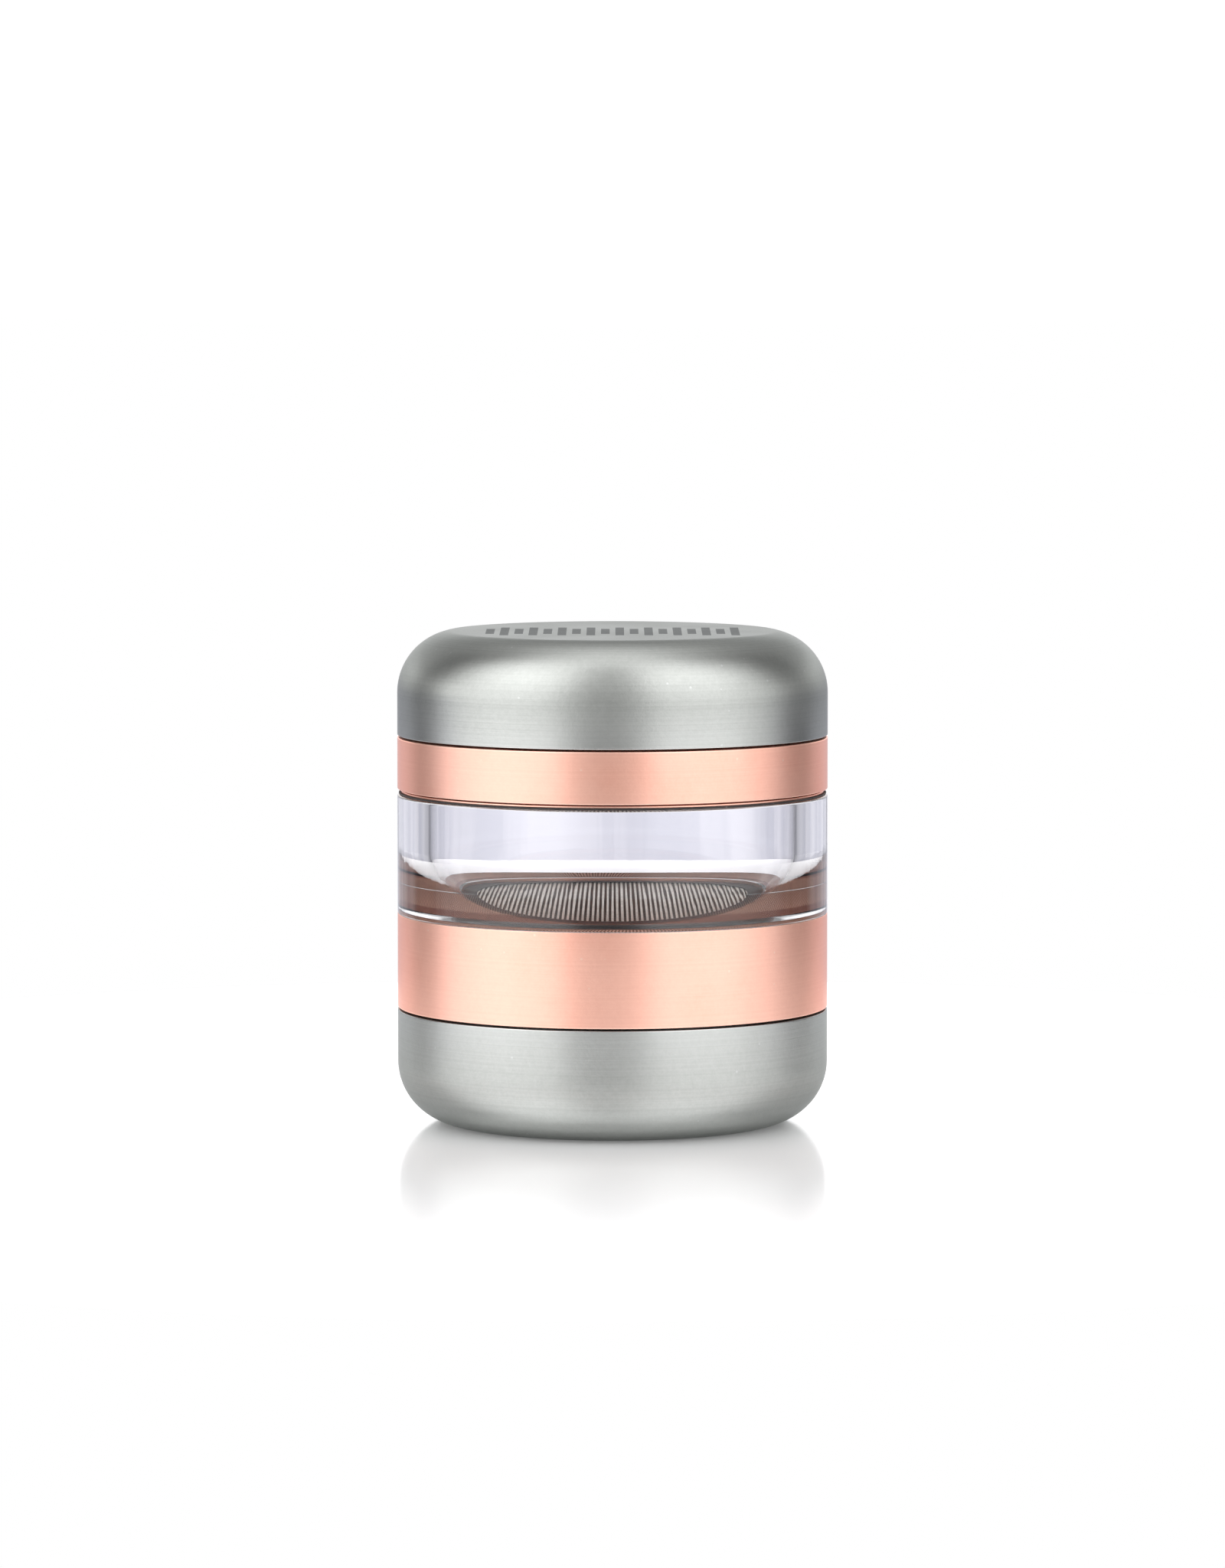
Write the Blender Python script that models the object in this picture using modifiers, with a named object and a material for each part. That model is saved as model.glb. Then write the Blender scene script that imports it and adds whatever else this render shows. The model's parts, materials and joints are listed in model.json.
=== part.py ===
"""Herb grinder with a glass storage chamber, as separate pieces.

From the bottom: a cup that catches what is sifted, a rose collar that carries the
sieve and the glass, a threaded neck bonded on the glass, a toothed plate that screws
onto the neck, and a domed lid with teeth that turns on the plate. Metres, +Z up, the
origin on the axis at the base. Run it with: blender --background --python part.py
"""

import math

import bmesh
import bpy
from mathutils import Matrix

MM = 0.001
PART_NAME = "glass_grinder"
SEGMENTS = 40

# Whole object
OUTER_RADIUS = 31.5 * MM
TOTAL_HEIGHT = 72.0 * MM
CORNER_RADIUS = 9.1 * MM
CORNER_SWEEP = 80.0
ARC_STEPS = 6
SEAM = 0.3 * MM

# Heights of the joints between the bands
CUP_SEAM = 16.8 * MM
GLASS_BOTTOM = 30.75 * MM
GLASS_TOP = 48.2 * MM
PLATE_BOTTOM = 48.98 * MM
LID_SEAM = 56.7 * MM

# Both screw joints
PITCH = 1.5 * MM
THREAD_TAIL = 3.5
SPIGOT_RADIUS = 28.3 * MM
CREST_RADIUS = 29.05 * MM
BORE_RADIUS = 28.75 * MM
GROOVE_RADIUS = 29.35 * MM
RIDGE_ROOT = 0.8 * MM
RIDGE_CREST = 0.3 * MM
THREAD_PLAY = 0.2 * MM
RIDGE_BURIED = 0.3 * MM

# Bottom cup
CUP_WELL_RADIUS = 26.0 * MM
CUP_FLOOR = 2.8 * MM
CUP_WELL_CORNER = 6.0 * MM
CUP_SPIGOT_TOP = 21.3 * MM
CUP_THREAD_START = 17.6 * MM
CUP_THREAD_TURNS = 1.5

# Lower collar, with its sieve
COLLAR_TOP = 30.5 * MM
COLLAR_SHOULDER = 22.1 * MM
SIEVE_PASSAGE = 21.4 * MM
PASSAGE_TOP = 25.55 * MM
POCKET_FLOOR = 27.05 * MM
POCKET_RADIUS = 24.15 * MM
GASKET_RADIUS = 24.0 * MM
GASKET_TOP = 29.65 * MM
GASKET_LIP = 0.38 * MM
GASKET_BOTTOM = 27.2 * MM
GASKET_SKIRT_RADIUS = 22.6 * MM
SCREEN_OPENING = 20.9 * MM
SCREEN_RADIUS = 22.4 * MM
SCREEN_LOW = 29.07 * MM
SCREEN_THICKNESS = 0.12 * MM
FRAME_INNER_RADIUS = 21.1 * MM
FRAME_TOP = 29.0 * MM

# Glass chamber and its bonded joints
GLASS_BORE = 26.7 * MM
FILLET_WIDTH = 7.6 * MM
FILLET_HEIGHT = 11.5 * MM
FILLET_TOP = 40.2 * MM
FILLET_STEPS = 9
BOND_GAP = 0.05 * MM
SEAL_INSET = 0.25 * MM
NECK_FLANGE_RADIUS = 31.15 * MM
NECK_FLANGE_LOW = 48.46 * MM
NECK_FLANGE_TOP = 48.78 * MM
NECK_TOP = 52.4 * MM
NECK_THREAD_START = 49.6 * MM
NECK_THREAD_TURNS = 1.25

# Toothed plate
PLATE_UNDERSIDE = 52.9 * MM
PLATE_FLOOR = 55.5 * MM
PLATE_WALL_INNER = 27.2 * MM
PLATE_WALL_OUTER = 28.7 * MM
PLATE_WALL_TOP = 63.0 * MM
PLATE_TOOTH_TIP = 65.8 * MM
PLATE_HUB_TOP = 60.9 * MM
DROP_HOLE_RADIUS = 1.9 * MM
DROP_HOLE_SIDES = 10

# Lid
LID_SKIRT_INNER = 29.2 * MM
LID_CEILING = 67.8 * MM
LID_INNER_CORNER = 5.5 * MM
LID_TOOTH_TIP = 57.5 * MM
LID_HUB_BOTTOM = 61.4 * MM
RING_GROOVE_RADIUS = 29.8 * MM
RING_GROOVE_LOW = 58.6 * MM
RING_GROOVE_TOP = 60.2 * MM

# Gaskets at the top of both threaded bores, and the nylon ring in the lid's groove
THREAD_GASKET_RADIUS = 28.5 * MM
CUP_GASKET_LOW = 21.45 * MM
CUP_GASKET_TOP = 21.95 * MM
PLATE_GASKET_LOW = 52.5 * MM
PLATE_GASKET_TOP = 52.8 * MM
SLIP_RING_INNER = 28.95 * MM
SLIP_RING_OUTER = 29.65 * MM
SLIP_RING_LOW = 58.8 * MM
SLIP_RING_TOP = 60.0 * MM

# Teeth: diamonds longer round the plate than across it
TOOTH_HALF_ACROSS = 1.5 * MM
TOOTH_HALF_ROUND = 2.2 * MM
TOOTH_TAPER = 0.82
TOOTH_BURIED = 0.6 * MM
PLATE_RINGS = ((11.2 * MM, 6), (18.4 * MM, 10), (25.3 * MM, 14))
LID_RINGS = ((7.6 * MM, 4), (14.8 * MM, 8), (22.0 * MM, 12))
HOLE_RINGS = ((7.5 * MM, 5), (14.8 * MM, 9), (22.0 * MM, 14))

# Magnets in both hubs
HUB_RADIUS = 5.2 * MM
MAGNET_POCKET_RADIUS = 4.2 * MM
MAGNET_RADIUS = 4.0 * MM
MAGNET_HEIGHT = 2.7 * MM
MAGNET_CAP_HEIGHT = 0.7 * MM
MAGNET_GAP = 0.2 * MM
POCKET_DEPTH = 3.8 * MM

TITANIUM = ("titanium_grey_metal", (0.56, 0.58, 0.565), 0.34, 1.0)
ROSE = ("rose_gold_metal", (0.86, 0.55, 0.45), 0.32, 1.0)
STEEL = ("stainless_steel", (0.60, 0.59, 0.56), 0.35, 1.0)
MAGNET = ("nickel_plated_magnet", (0.72, 0.71, 0.69), 0.22, 1.0)
NYLON = ("white_nylon", (0.86, 0.85, 0.82), 0.45, 0.0)
SILICONE = ("black_silicone", (0.03, 0.03, 0.03), 0.6, 0.0)
ADHESIVE = ("clear_adhesive", (0.80, 0.70, 0.66), 0.3, 0.0)
GLASS = ("clear_glass", (0.93, 0.93, 0.97), 0.02, 0.0)


def clear_scene():
    """Removes every object of the scene it starts in."""
    for found in list(bpy.data.objects):
        bpy.data.objects.remove(found, do_unlink=True)


def new_collection(name):
    """A new collection under the scene's own."""
    collection = bpy.data.collections.new(name)
    bpy.context.scene.collection.children.link(collection)
    return collection


def material(finish):
    """The Principled material of a finish: its name, colour, roughness and metallic value."""
    name, colour, roughness, metallic = finish
    made = bpy.data.materials.get(name)
    if made:
        return made
    made = bpy.data.materials.new(name)
    made.use_nodes = True
    made.diffuse_color = (*colour, 1.0)
    shader = made.node_tree.nodes["Principled BSDF"]
    shader.inputs["Base Color"].default_value = (*colour, 1.0)
    shader.inputs["Roughness"].default_value = roughness
    shader.inputs["Metallic"].default_value = metallic
    if finish is GLASS:
        shader.inputs["Transmission Weight"].default_value = 1.0
    return made


def place(name, mesh, collection):
    """An object of this mesh in this collection."""
    made = bpy.data.objects.new(name, mesh)
    collection.objects.link(made)
    return made


def arc(centre_r, centre_z, radius, start, end, steps=ARC_STEPS):
    """Points of an arc in the (r, z) plane, with angles in degrees from +r towards +z."""
    points = []
    for step in range(steps + 1):
        angle = math.radians(start + (end - start) * step / steps)
        points.append((centre_r + radius * math.cos(angle), centre_z + radius * math.sin(angle)))
    return points


def glass_fillet():
    """Points of the glass's round inside bottom: a quarter ellipse, from the glass's base up to the bore."""
    centre_r = GLASS_BORE - FILLET_WIDTH
    start = math.asin((FILLET_TOP - GLASS_BOTTOM) / FILLET_HEIGHT)
    points = []
    for step in range(FILLET_STEPS + 1):
        angle = start * (1 - step / FILLET_STEPS)
        r = centre_r + FILLET_WIDTH * math.cos(angle)
        points.append((r, FILLET_TOP - FILLET_HEIGHT * math.sin(angle)))
    return points


def rectangle(inner, outer, low, high):
    """A closed ring section that runs down its outer side."""
    return [(outer, high), (outer, low), (inner, low), (inner, high)]


def turned(name, section, finish, collection, closed=True):
    """A turned piece: a section of (r, z) points, swept once round Z by a Screw modifier.

    A closed section is a ring. An open one starts and ends on the axis.
    """
    mesh = bpy.data.meshes.new(name)
    edges = [(i, i + 1) for i in range(len(section) - 1)]
    if closed:
        edges.append((len(section) - 1, 0))
    mesh.from_pydata([(r, 0.0, z) for r, z in section], edges, [])
    made = place(name, mesh, collection)
    screw = made.modifiers.new("turn", "SCREW")
    screw.axis = "Z"
    screw.angle = math.tau
    screw.steps = SEGMENTS
    screw.render_steps = SEGMENTS
    screw.use_smooth_shade = True
    screw.use_merge_vertices = True
    screw.merge_threshold = 1e-6
    made.data.materials.append(material(finish))
    return made


def hide(helper):
    """Marks an object as a cutter or joiner, which is no part of the model."""
    helper.hide_render = True
    helper.display_type = "WIRE"


def boolean(target, helper, operation):
    """Cuts or joins a helper by the EXACT solver."""
    step = target.modifiers.new(helper.name, "BOOLEAN")
    step.operation = operation
    step.object = helper
    step.solver = "EXACT"


def helical_ridge(name, section, start_z, turns, helpers):
    """A closed helical bar of a section of (r, z offset) points, climbing right-handed from start_z."""
    mesh = bpy.data.meshes.new(name + "_section")
    count = len(section)
    edges = [(i, (i + 1) % count) for i in range(count)]
    mesh.from_pydata([(r, 0.0, start_z + dz) for r, dz in section], edges, [])
    swept = place(name, mesh, helpers)
    screw = swept.modifiers.new("climb", "SCREW")
    screw.axis = "Z"
    screw.angle = math.tau * turns
    screw.screw_offset = PITCH * turns
    screw.steps = round(SEGMENTS * turns)
    screw.render_steps = screw.steps
    graph = bpy.context.evaluated_depsgraph_get()
    solid = bpy.data.meshes.new_from_object(swept.evaluated_get(graph))
    swept.modifiers.clear()
    swept.data = solid
    work = bmesh.new()
    work.from_mesh(solid)
    bmesh.ops.holes_fill(work, edges=[edge for edge in work.edges if edge.is_boundary])
    bmesh.ops.recalc_face_normals(work, faces=work.faces)
    work.to_mesh(solid)
    work.free()
    hide(swept)
    return swept


def male_thread(body, start_z, turns, helpers):
    """Joins a raised thread to the outside of a spigot of SPIGOT_RADIUS."""
    root = SPIGOT_RADIUS - RIDGE_BURIED
    section = [
        (CREST_RADIUS, RIDGE_CREST / 2),
        (CREST_RADIUS, -RIDGE_CREST / 2),
        (SPIGOT_RADIUS, -RIDGE_ROOT / 2),
        (root, -RIDGE_ROOT / 2),
        (root, RIDGE_ROOT / 2),
        (SPIGOT_RADIUS, RIDGE_ROOT / 2),
    ]
    ridge = helical_ridge(body.name + "_ridge", section, start_z, turns, helpers)
    boolean(body, ridge, "UNION")


def female_thread(body, start_z, turns, bore_mouth, helpers):
    """Cuts the groove that a male thread of the same start and turns runs in, out through the bore's mouth."""
    half_crest = RIDGE_CREST / 2 + THREAD_PLAY
    half_root = RIDGE_ROOT / 2 + THREAD_PLAY
    inside = SPIGOT_RADIUS - RIDGE_BURIED
    section = [
        (GROOVE_RADIUS, half_crest),
        (GROOVE_RADIUS, -half_crest),
        (SPIGOT_RADIUS, -half_root),
        (inside, -half_root),
        (inside, half_root),
        (SPIGOT_RADIUS, half_root),
    ]
    turns_below = (math.ceil((start_z + RIDGE_ROOT - bore_mouth) / PITCH * SEGMENTS) + 0.5) / SEGMENTS
    turns_above = turns + THREAD_TAIL / SEGMENTS
    length = turns_below + turns_above
    low_start = start_z - turns_below * PITCH
    groove = helical_ridge(body.name + "_groove", section, low_start, length, helpers)
    groove.data.transform(Matrix.Rotation(-math.tau * turns_below, 4, "Z"))
    boolean(body, groove, "DIFFERENCE")


def ring_angles(count):
    """Angles of evenly spaced places, with +X half-way between two of them."""
    return [math.tau * (step + 0.5) / count for step in range(count)]


def teeth(name, rings, base_z, tip_z, helpers):
    """All the teeth of one side as one helper: tapered four-sided cones on rings of (radius, count)."""
    low, high = min(base_z, tip_z), max(base_z, tip_z)
    base_is_low = base_z < tip_z
    work = bmesh.new()
    for radius, count in rings:
        for angle in ring_angles(count):
            turn = Matrix.Rotation(angle, 4, "Z")
            shift = Matrix.Translation((radius, 0.0, (low + high) / 2))
            shape = Matrix.Diagonal((TOOTH_HALF_ACROSS, TOOTH_HALF_ROUND, high - low, 1.0))
            bmesh.ops.create_cone(
                work,
                cap_ends=True,
                segments=4,
                radius1=1.0 if base_is_low else TOOTH_TAPER,
                radius2=TOOTH_TAPER if base_is_low else 1.0,
                depth=1.0,
                matrix=turn @ shift @ shape,
            )
    mesh = bpy.data.meshes.new(name)
    work.to_mesh(mesh)
    work.free()
    made = place(name, mesh, helpers)
    hide(made)
    return made


def drop_holes(helpers):
    """One cutter of all the holes that ground herbs fall through."""
    work = bmesh.new()
    depth = 2 * (PLATE_FLOOR - PLATE_UNDERSIDE)
    height = (PLATE_FLOOR + PLATE_UNDERSIDE) / 2
    for radius, count in HOLE_RINGS:
        for angle in ring_angles(count):
            spot = Matrix.Rotation(angle, 4, "Z") @ Matrix.Translation((radius, 0.0, height))
            bmesh.ops.create_cone(
                work,
                cap_ends=True,
                segments=DROP_HOLE_SIDES,
                radius1=DROP_HOLE_RADIUS,
                radius2=DROP_HOLE_RADIUS,
                depth=depth,
                matrix=spot,
            )
    mesh = bpy.data.meshes.new("drop_holes")
    work.to_mesh(mesh)
    work.free()
    made = place("drop_holes", mesh, helpers)
    hide(made)
    return made


def bottom_cup(parts, helpers):
    """The cup under the sieve, with the lower thread on its spigot."""
    rim = CUP_SEAM - SEAM / 2
    corner_r = OUTER_RADIUS - CORNER_RADIUS
    corner_z = CORNER_RADIUS * math.sin(math.radians(CORNER_SWEEP))
    inner_r = CUP_WELL_RADIUS - CUP_WELL_CORNER
    section = [(0.0, CUP_FLOOR)]
    section += arc(inner_r, CUP_FLOOR + CUP_WELL_CORNER, CUP_WELL_CORNER, -90, 0)
    section += [
        (CUP_WELL_RADIUS, CUP_SPIGOT_TOP),
        (SPIGOT_RADIUS, CUP_SPIGOT_TOP),
        (SPIGOT_RADIUS, rim),
        (OUTER_RADIUS, rim),
    ]
    section += arc(corner_r, corner_z, CORNER_RADIUS, 0, -CORNER_SWEEP)
    section += [(0.0, 0.0)]
    cup = turned("bottom_cup", section, TITANIUM, parts, closed=False)
    male_thread(cup, CUP_THREAD_START, CUP_THREAD_TURNS, helpers)


def lower_collar(parts, helpers):
    """The rose band under the glass: the cup's thread below, the sieve's pocket above."""
    mouth = CUP_SEAM + SEAM / 2
    section = [
        (OUTER_RADIUS, COLLAR_TOP),
        (OUTER_RADIUS, mouth),
        (BORE_RADIUS, mouth),
        (BORE_RADIUS, COLLAR_SHOULDER),
        (CUP_WELL_RADIUS, COLLAR_SHOULDER),
        (SIEVE_PASSAGE, PASSAGE_TOP),
        (SIEVE_PASSAGE, POCKET_FLOOR),
        (POCKET_RADIUS, POCKET_FLOOR),
        (POCKET_RADIUS, COLLAR_TOP),
    ]
    collar = turned("lower_collar", section, ROSE, parts)
    female_thread(collar, CUP_THREAD_START, CUP_THREAD_TURNS, mouth, helpers)


def sieve(parts):
    """The screen, its steel hoop under it, and the silicone gasket that holds both in the collar."""
    gasket = [
        (GASKET_RADIUS, GASKET_TOP),
        (GASKET_RADIUS, GASKET_BOTTOM),
        (GASKET_SKIRT_RADIUS, GASKET_BOTTOM),
        (GASKET_SKIRT_RADIUS, GASKET_TOP - GASKET_LIP),
        (SCREEN_OPENING, GASKET_TOP - GASKET_LIP),
        (SCREEN_OPENING, GASKET_TOP),
    ]
    turned("screen_gasket", gasket, SILICONE, parts)
    screen_top = SCREEN_LOW + SCREEN_THICKNESS
    screen = [(0.0, screen_top), (SCREEN_RADIUS, screen_top), (SCREEN_RADIUS, SCREEN_LOW), (0.0, SCREEN_LOW)]
    turned("screen_mesh", screen, STEEL, parts, closed=False)
    hoop = rectangle(FRAME_INNER_RADIUS, SCREEN_RADIUS, GASKET_BOTTOM, FRAME_TOP)
    turned("screen_frame", hoop, STEEL, parts)


def glass_unit(parts, helpers):
    """The glass, the seals bonded above and below it, and the threaded neck on top."""
    glass = [(OUTER_RADIUS, GLASS_TOP), (OUTER_RADIUS, GLASS_BOTTOM)]
    glass += glass_fillet()
    glass += [(GLASS_BORE, GLASS_TOP)]
    turned("glass_chamber", glass, GLASS, parts)

    seal_outer = OUTER_RADIUS - SEAL_INSET
    bond = rectangle(POCKET_RADIUS + SEAL_INSET, seal_outer, COLLAR_TOP + BOND_GAP, GLASS_BOTTOM - BOND_GAP)
    turned("lower_glass_seal", bond, ADHESIVE, parts)
    top_seal = rectangle(
        GLASS_BORE + SEAL_INSET, seal_outer, GLASS_TOP + BOND_GAP, NECK_FLANGE_LOW - BOND_GAP
    )
    turned("upper_glass_seal", top_seal, SILICONE, parts)

    neck_section = [
        (SPIGOT_RADIUS, NECK_TOP),
        (SPIGOT_RADIUS, NECK_FLANGE_TOP),
        (NECK_FLANGE_RADIUS, NECK_FLANGE_TOP),
        (NECK_FLANGE_RADIUS, NECK_FLANGE_LOW),
        (GLASS_BORE, NECK_FLANGE_LOW),
        (GLASS_BORE, NECK_TOP),
    ]
    neck = turned("glass_neck_ring", neck_section, ROSE, parts)
    male_thread(neck, NECK_THREAD_START, NECK_THREAD_TURNS, helpers)


def tooth_plate(parts, helpers):
    """The rose band above the glass: the thread below, the drop holes, the lower teeth and the inner wall."""
    ledge = LID_SEAM - SEAM / 2
    pocket = PLATE_HUB_TOP - POCKET_DEPTH
    section = [
        (0.0, pocket),
        (MAGNET_POCKET_RADIUS, pocket),
        (MAGNET_POCKET_RADIUS, PLATE_HUB_TOP),
        (HUB_RADIUS, PLATE_HUB_TOP),
        (HUB_RADIUS, PLATE_FLOOR),
        (PLATE_WALL_INNER, PLATE_FLOOR),
        (PLATE_WALL_INNER, PLATE_WALL_TOP),
        (PLATE_WALL_OUTER, PLATE_WALL_TOP),
        (PLATE_WALL_OUTER, ledge),
        (OUTER_RADIUS, ledge),
        (OUTER_RADIUS, PLATE_BOTTOM),
        (BORE_RADIUS, PLATE_BOTTOM),
        (BORE_RADIUS, PLATE_UNDERSIDE),
        (0.0, PLATE_UNDERSIDE),
    ]
    plate = turned("tooth_plate", section, ROSE, parts, closed=False)
    female_thread(plate, NECK_THREAD_START, NECK_THREAD_TURNS, PLATE_BOTTOM, helpers)
    boolean(plate, drop_holes(helpers), "DIFFERENCE")
    lower = teeth("plate_teeth", PLATE_RINGS, PLATE_FLOOR - TOOTH_BURIED, PLATE_TOOTH_TIP, helpers)
    boolean(plate, lower, "UNION")


def lid(parts, helpers):
    """The domed lid, milled with the upper teeth, a hub for its magnet and a groove for its ring."""
    rim = LID_SEAM + SEAM / 2
    corner_r = OUTER_RADIUS - CORNER_RADIUS
    corner_z = TOTAL_HEIGHT - CORNER_RADIUS * math.sin(math.radians(CORNER_SWEEP))
    inner_r = LID_SKIRT_INNER - LID_INNER_CORNER
    inner_z = LID_CEILING - LID_INNER_CORNER
    pocket = LID_HUB_BOTTOM + POCKET_DEPTH
    section = [(0.0, TOTAL_HEIGHT)]
    section += arc(corner_r, corner_z, CORNER_RADIUS, CORNER_SWEEP, 0)
    section += [
        (OUTER_RADIUS, rim),
        (LID_SKIRT_INNER, rim),
        (LID_SKIRT_INNER, RING_GROOVE_LOW),
        (RING_GROOVE_RADIUS, RING_GROOVE_LOW),
        (RING_GROOVE_RADIUS, RING_GROOVE_TOP),
        (LID_SKIRT_INNER, RING_GROOVE_TOP),
    ]
    section += arc(inner_r, inner_z, LID_INNER_CORNER, 0, 90)
    section += [
        (HUB_RADIUS, LID_CEILING),
        (HUB_RADIUS, LID_HUB_BOTTOM),
        (MAGNET_POCKET_RADIUS, LID_HUB_BOTTOM),
        (MAGNET_POCKET_RADIUS, pocket),
        (0.0, pocket),
    ]
    cover = turned("lid", section, TITANIUM, parts, closed=False)
    upper = teeth("lid_teeth", LID_RINGS, LID_CEILING + TOOTH_BURIED, LID_TOOTH_TIP, helpers)
    boolean(cover, upper, "UNION")


def disc(name, radius, low, high, finish, parts):
    """A plain turned disc on the axis."""
    turned(name, [(0.0, high), (radius, high), (radius, low), (0.0, low)], finish, parts, closed=False)


def magnets(parts):
    """The pair of magnets, each behind a pressed cap at the mouth of its hub."""
    lid_cap_top = LID_HUB_BOTTOM + MAGNET_CAP_HEIGHT
    lid_magnet_low = lid_cap_top + MAGNET_GAP
    disc("lid_magnet_cap", MAGNET_RADIUS, LID_HUB_BOTTOM, lid_cap_top, STEEL, parts)
    disc("lid_magnet", MAGNET_RADIUS, lid_magnet_low, lid_magnet_low + MAGNET_HEIGHT, MAGNET, parts)
    plate_cap_low = PLATE_HUB_TOP - MAGNET_CAP_HEIGHT
    plate_magnet_top = plate_cap_low - MAGNET_GAP
    disc("plate_magnet_cap", MAGNET_RADIUS, plate_cap_low, PLATE_HUB_TOP, STEEL, parts)
    disc("plate_magnet", MAGNET_RADIUS, plate_magnet_top - MAGNET_HEIGHT, plate_magnet_top, MAGNET, parts)


def sealing_rings(parts):
    """The gaskets at the top of both threaded bores, and the nylon ring that the lid turns on."""
    cup_inner = CUP_WELL_RADIUS + SEAL_INSET
    cup_section = rectangle(cup_inner, THREAD_GASKET_RADIUS, CUP_GASKET_LOW, CUP_GASKET_TOP)
    turned("cup_gasket", cup_section, SILICONE, parts)
    plate_inner = GLASS_BORE + SEAL_INSET
    plate_section = rectangle(plate_inner, THREAD_GASKET_RADIUS, PLATE_GASKET_LOW, PLATE_GASKET_TOP)
    turned("plate_gasket", plate_section, SILICONE, parts)
    nylon_section = rectangle(SLIP_RING_INNER, SLIP_RING_OUTER, SLIP_RING_LOW, SLIP_RING_TOP)
    turned("lid_friction_ring", nylon_section, NYLON, parts)


def main():
    """Builds every piece from the cup upwards."""
    clear_scene()
    parts = new_collection(PART_NAME)
    helpers = new_collection("helpers")
    bottom_cup(parts, helpers)
    lower_collar(parts, helpers)
    sieve(parts)
    glass_unit(parts, helpers)
    tooth_plate(parts, helpers)
    lid(parts, helpers)
    magnets(parts)
    sealing_rings(parts)


main()
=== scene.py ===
"""Looks of a herb grinder with a glass storage chamber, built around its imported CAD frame.

Each sub-assembly is a class with its sizes and the methods that model and dress it. The
finishes are small classes that build node materials. All lengths are in metres.
"""

import json
import logging
import math
from collections.abc import Callable
from dataclasses import dataclass
from enum import Enum

import bpy
from mathutils import Matrix, Vector

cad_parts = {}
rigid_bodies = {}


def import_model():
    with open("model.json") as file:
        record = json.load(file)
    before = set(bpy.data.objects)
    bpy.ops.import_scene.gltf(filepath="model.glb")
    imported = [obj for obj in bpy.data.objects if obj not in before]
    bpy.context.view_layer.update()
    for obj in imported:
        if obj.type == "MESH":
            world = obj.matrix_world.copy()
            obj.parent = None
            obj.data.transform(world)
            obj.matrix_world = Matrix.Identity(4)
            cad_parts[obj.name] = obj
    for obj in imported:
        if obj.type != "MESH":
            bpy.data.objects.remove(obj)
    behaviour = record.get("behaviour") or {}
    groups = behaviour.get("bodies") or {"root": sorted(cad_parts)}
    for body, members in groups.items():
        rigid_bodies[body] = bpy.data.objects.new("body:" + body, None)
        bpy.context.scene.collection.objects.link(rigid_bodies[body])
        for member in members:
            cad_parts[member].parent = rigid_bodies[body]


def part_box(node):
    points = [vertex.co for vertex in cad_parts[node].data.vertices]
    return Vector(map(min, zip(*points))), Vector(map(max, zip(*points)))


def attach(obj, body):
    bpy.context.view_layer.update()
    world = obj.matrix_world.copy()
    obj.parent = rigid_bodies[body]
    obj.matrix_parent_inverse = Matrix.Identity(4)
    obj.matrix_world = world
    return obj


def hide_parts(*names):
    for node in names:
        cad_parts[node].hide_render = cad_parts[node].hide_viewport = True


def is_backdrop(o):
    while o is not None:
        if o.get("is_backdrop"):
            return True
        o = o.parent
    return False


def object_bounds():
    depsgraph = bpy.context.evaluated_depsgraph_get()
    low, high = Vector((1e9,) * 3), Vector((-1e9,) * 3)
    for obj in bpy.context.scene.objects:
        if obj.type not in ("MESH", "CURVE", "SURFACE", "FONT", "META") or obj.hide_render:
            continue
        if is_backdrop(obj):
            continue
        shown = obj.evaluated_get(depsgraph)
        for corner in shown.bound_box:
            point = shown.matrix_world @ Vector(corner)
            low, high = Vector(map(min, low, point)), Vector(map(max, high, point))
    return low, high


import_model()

log = logging.getLogger("grinder")

MM = 0.001
TURN_STEPS = 256
THREAD_STEPS = 128
SMOOTH_ANGLE = math.radians(34.0)
STRAIGHT = math.radians(89.5)
MERGE = 1e-6
EDGE_ATTRIBUTE = "edge_wear"
POLISH_REACH = 0.25 * MM
SUPPORT = 0.12 * MM
GLASS_STEPS = 384
HUB_STEPS = 96
DRILL_STEPS = 40
WHITE = (1.0, 1.0, 1.0, 1.0)

Colour = tuple[float, float, float]
Stops = tuple[tuple[float, float], ...]


class Operation(Enum):
    """What a Boolean does with its helper."""

    JOIN = "UNION"
    CUT = "DIFFERENCE"


# ---------------------------------------------------------------- modelling


@dataclass(frozen=True)
class Corner:
    """One corner of a turned outline, in the (r, z) plane.

    A radius above 0 rounds the corner with an arc of that radius.
    """

    r: float
    z: float
    radius: float = 0.0
    steps: int = 3

    def place(self) -> Vector:
        """The corner as a 2-D point."""
        return Vector((self.r, self.z))


def arc(r: float, z: float, radius: float, start: float, end: float, steps: int) -> list[Corner]:
    """Points on an arc of an outline.

    Args:
        r: Centre's distance from the axis.
        z: Centre's height.
        radius: Radius of the arc.
        start: First angle in degrees, from +r towards +z.
        end: Last angle in degrees.
        steps: Number of chords.

    Returns:
        The points as plain corners, first to last.
    """
    found = []
    for step in range(steps + 1):
        angle = math.radians(start + (end - start) * step / steps)
        found.append(Corner(r + radius * math.cos(angle), z + radius * math.sin(angle)))
    return found


def ring_section(
    inner: float, outer: float, low: float, high: float, radius: float
) -> list[Corner]:
    """A rectangular ring section with all four corners rounded by the same radius."""
    return [
        Corner(outer, high, radius),
        Corner(outer, low, radius),
        Corner(inner, low, radius),
        Corner(inner, high, radius),
    ]


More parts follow.
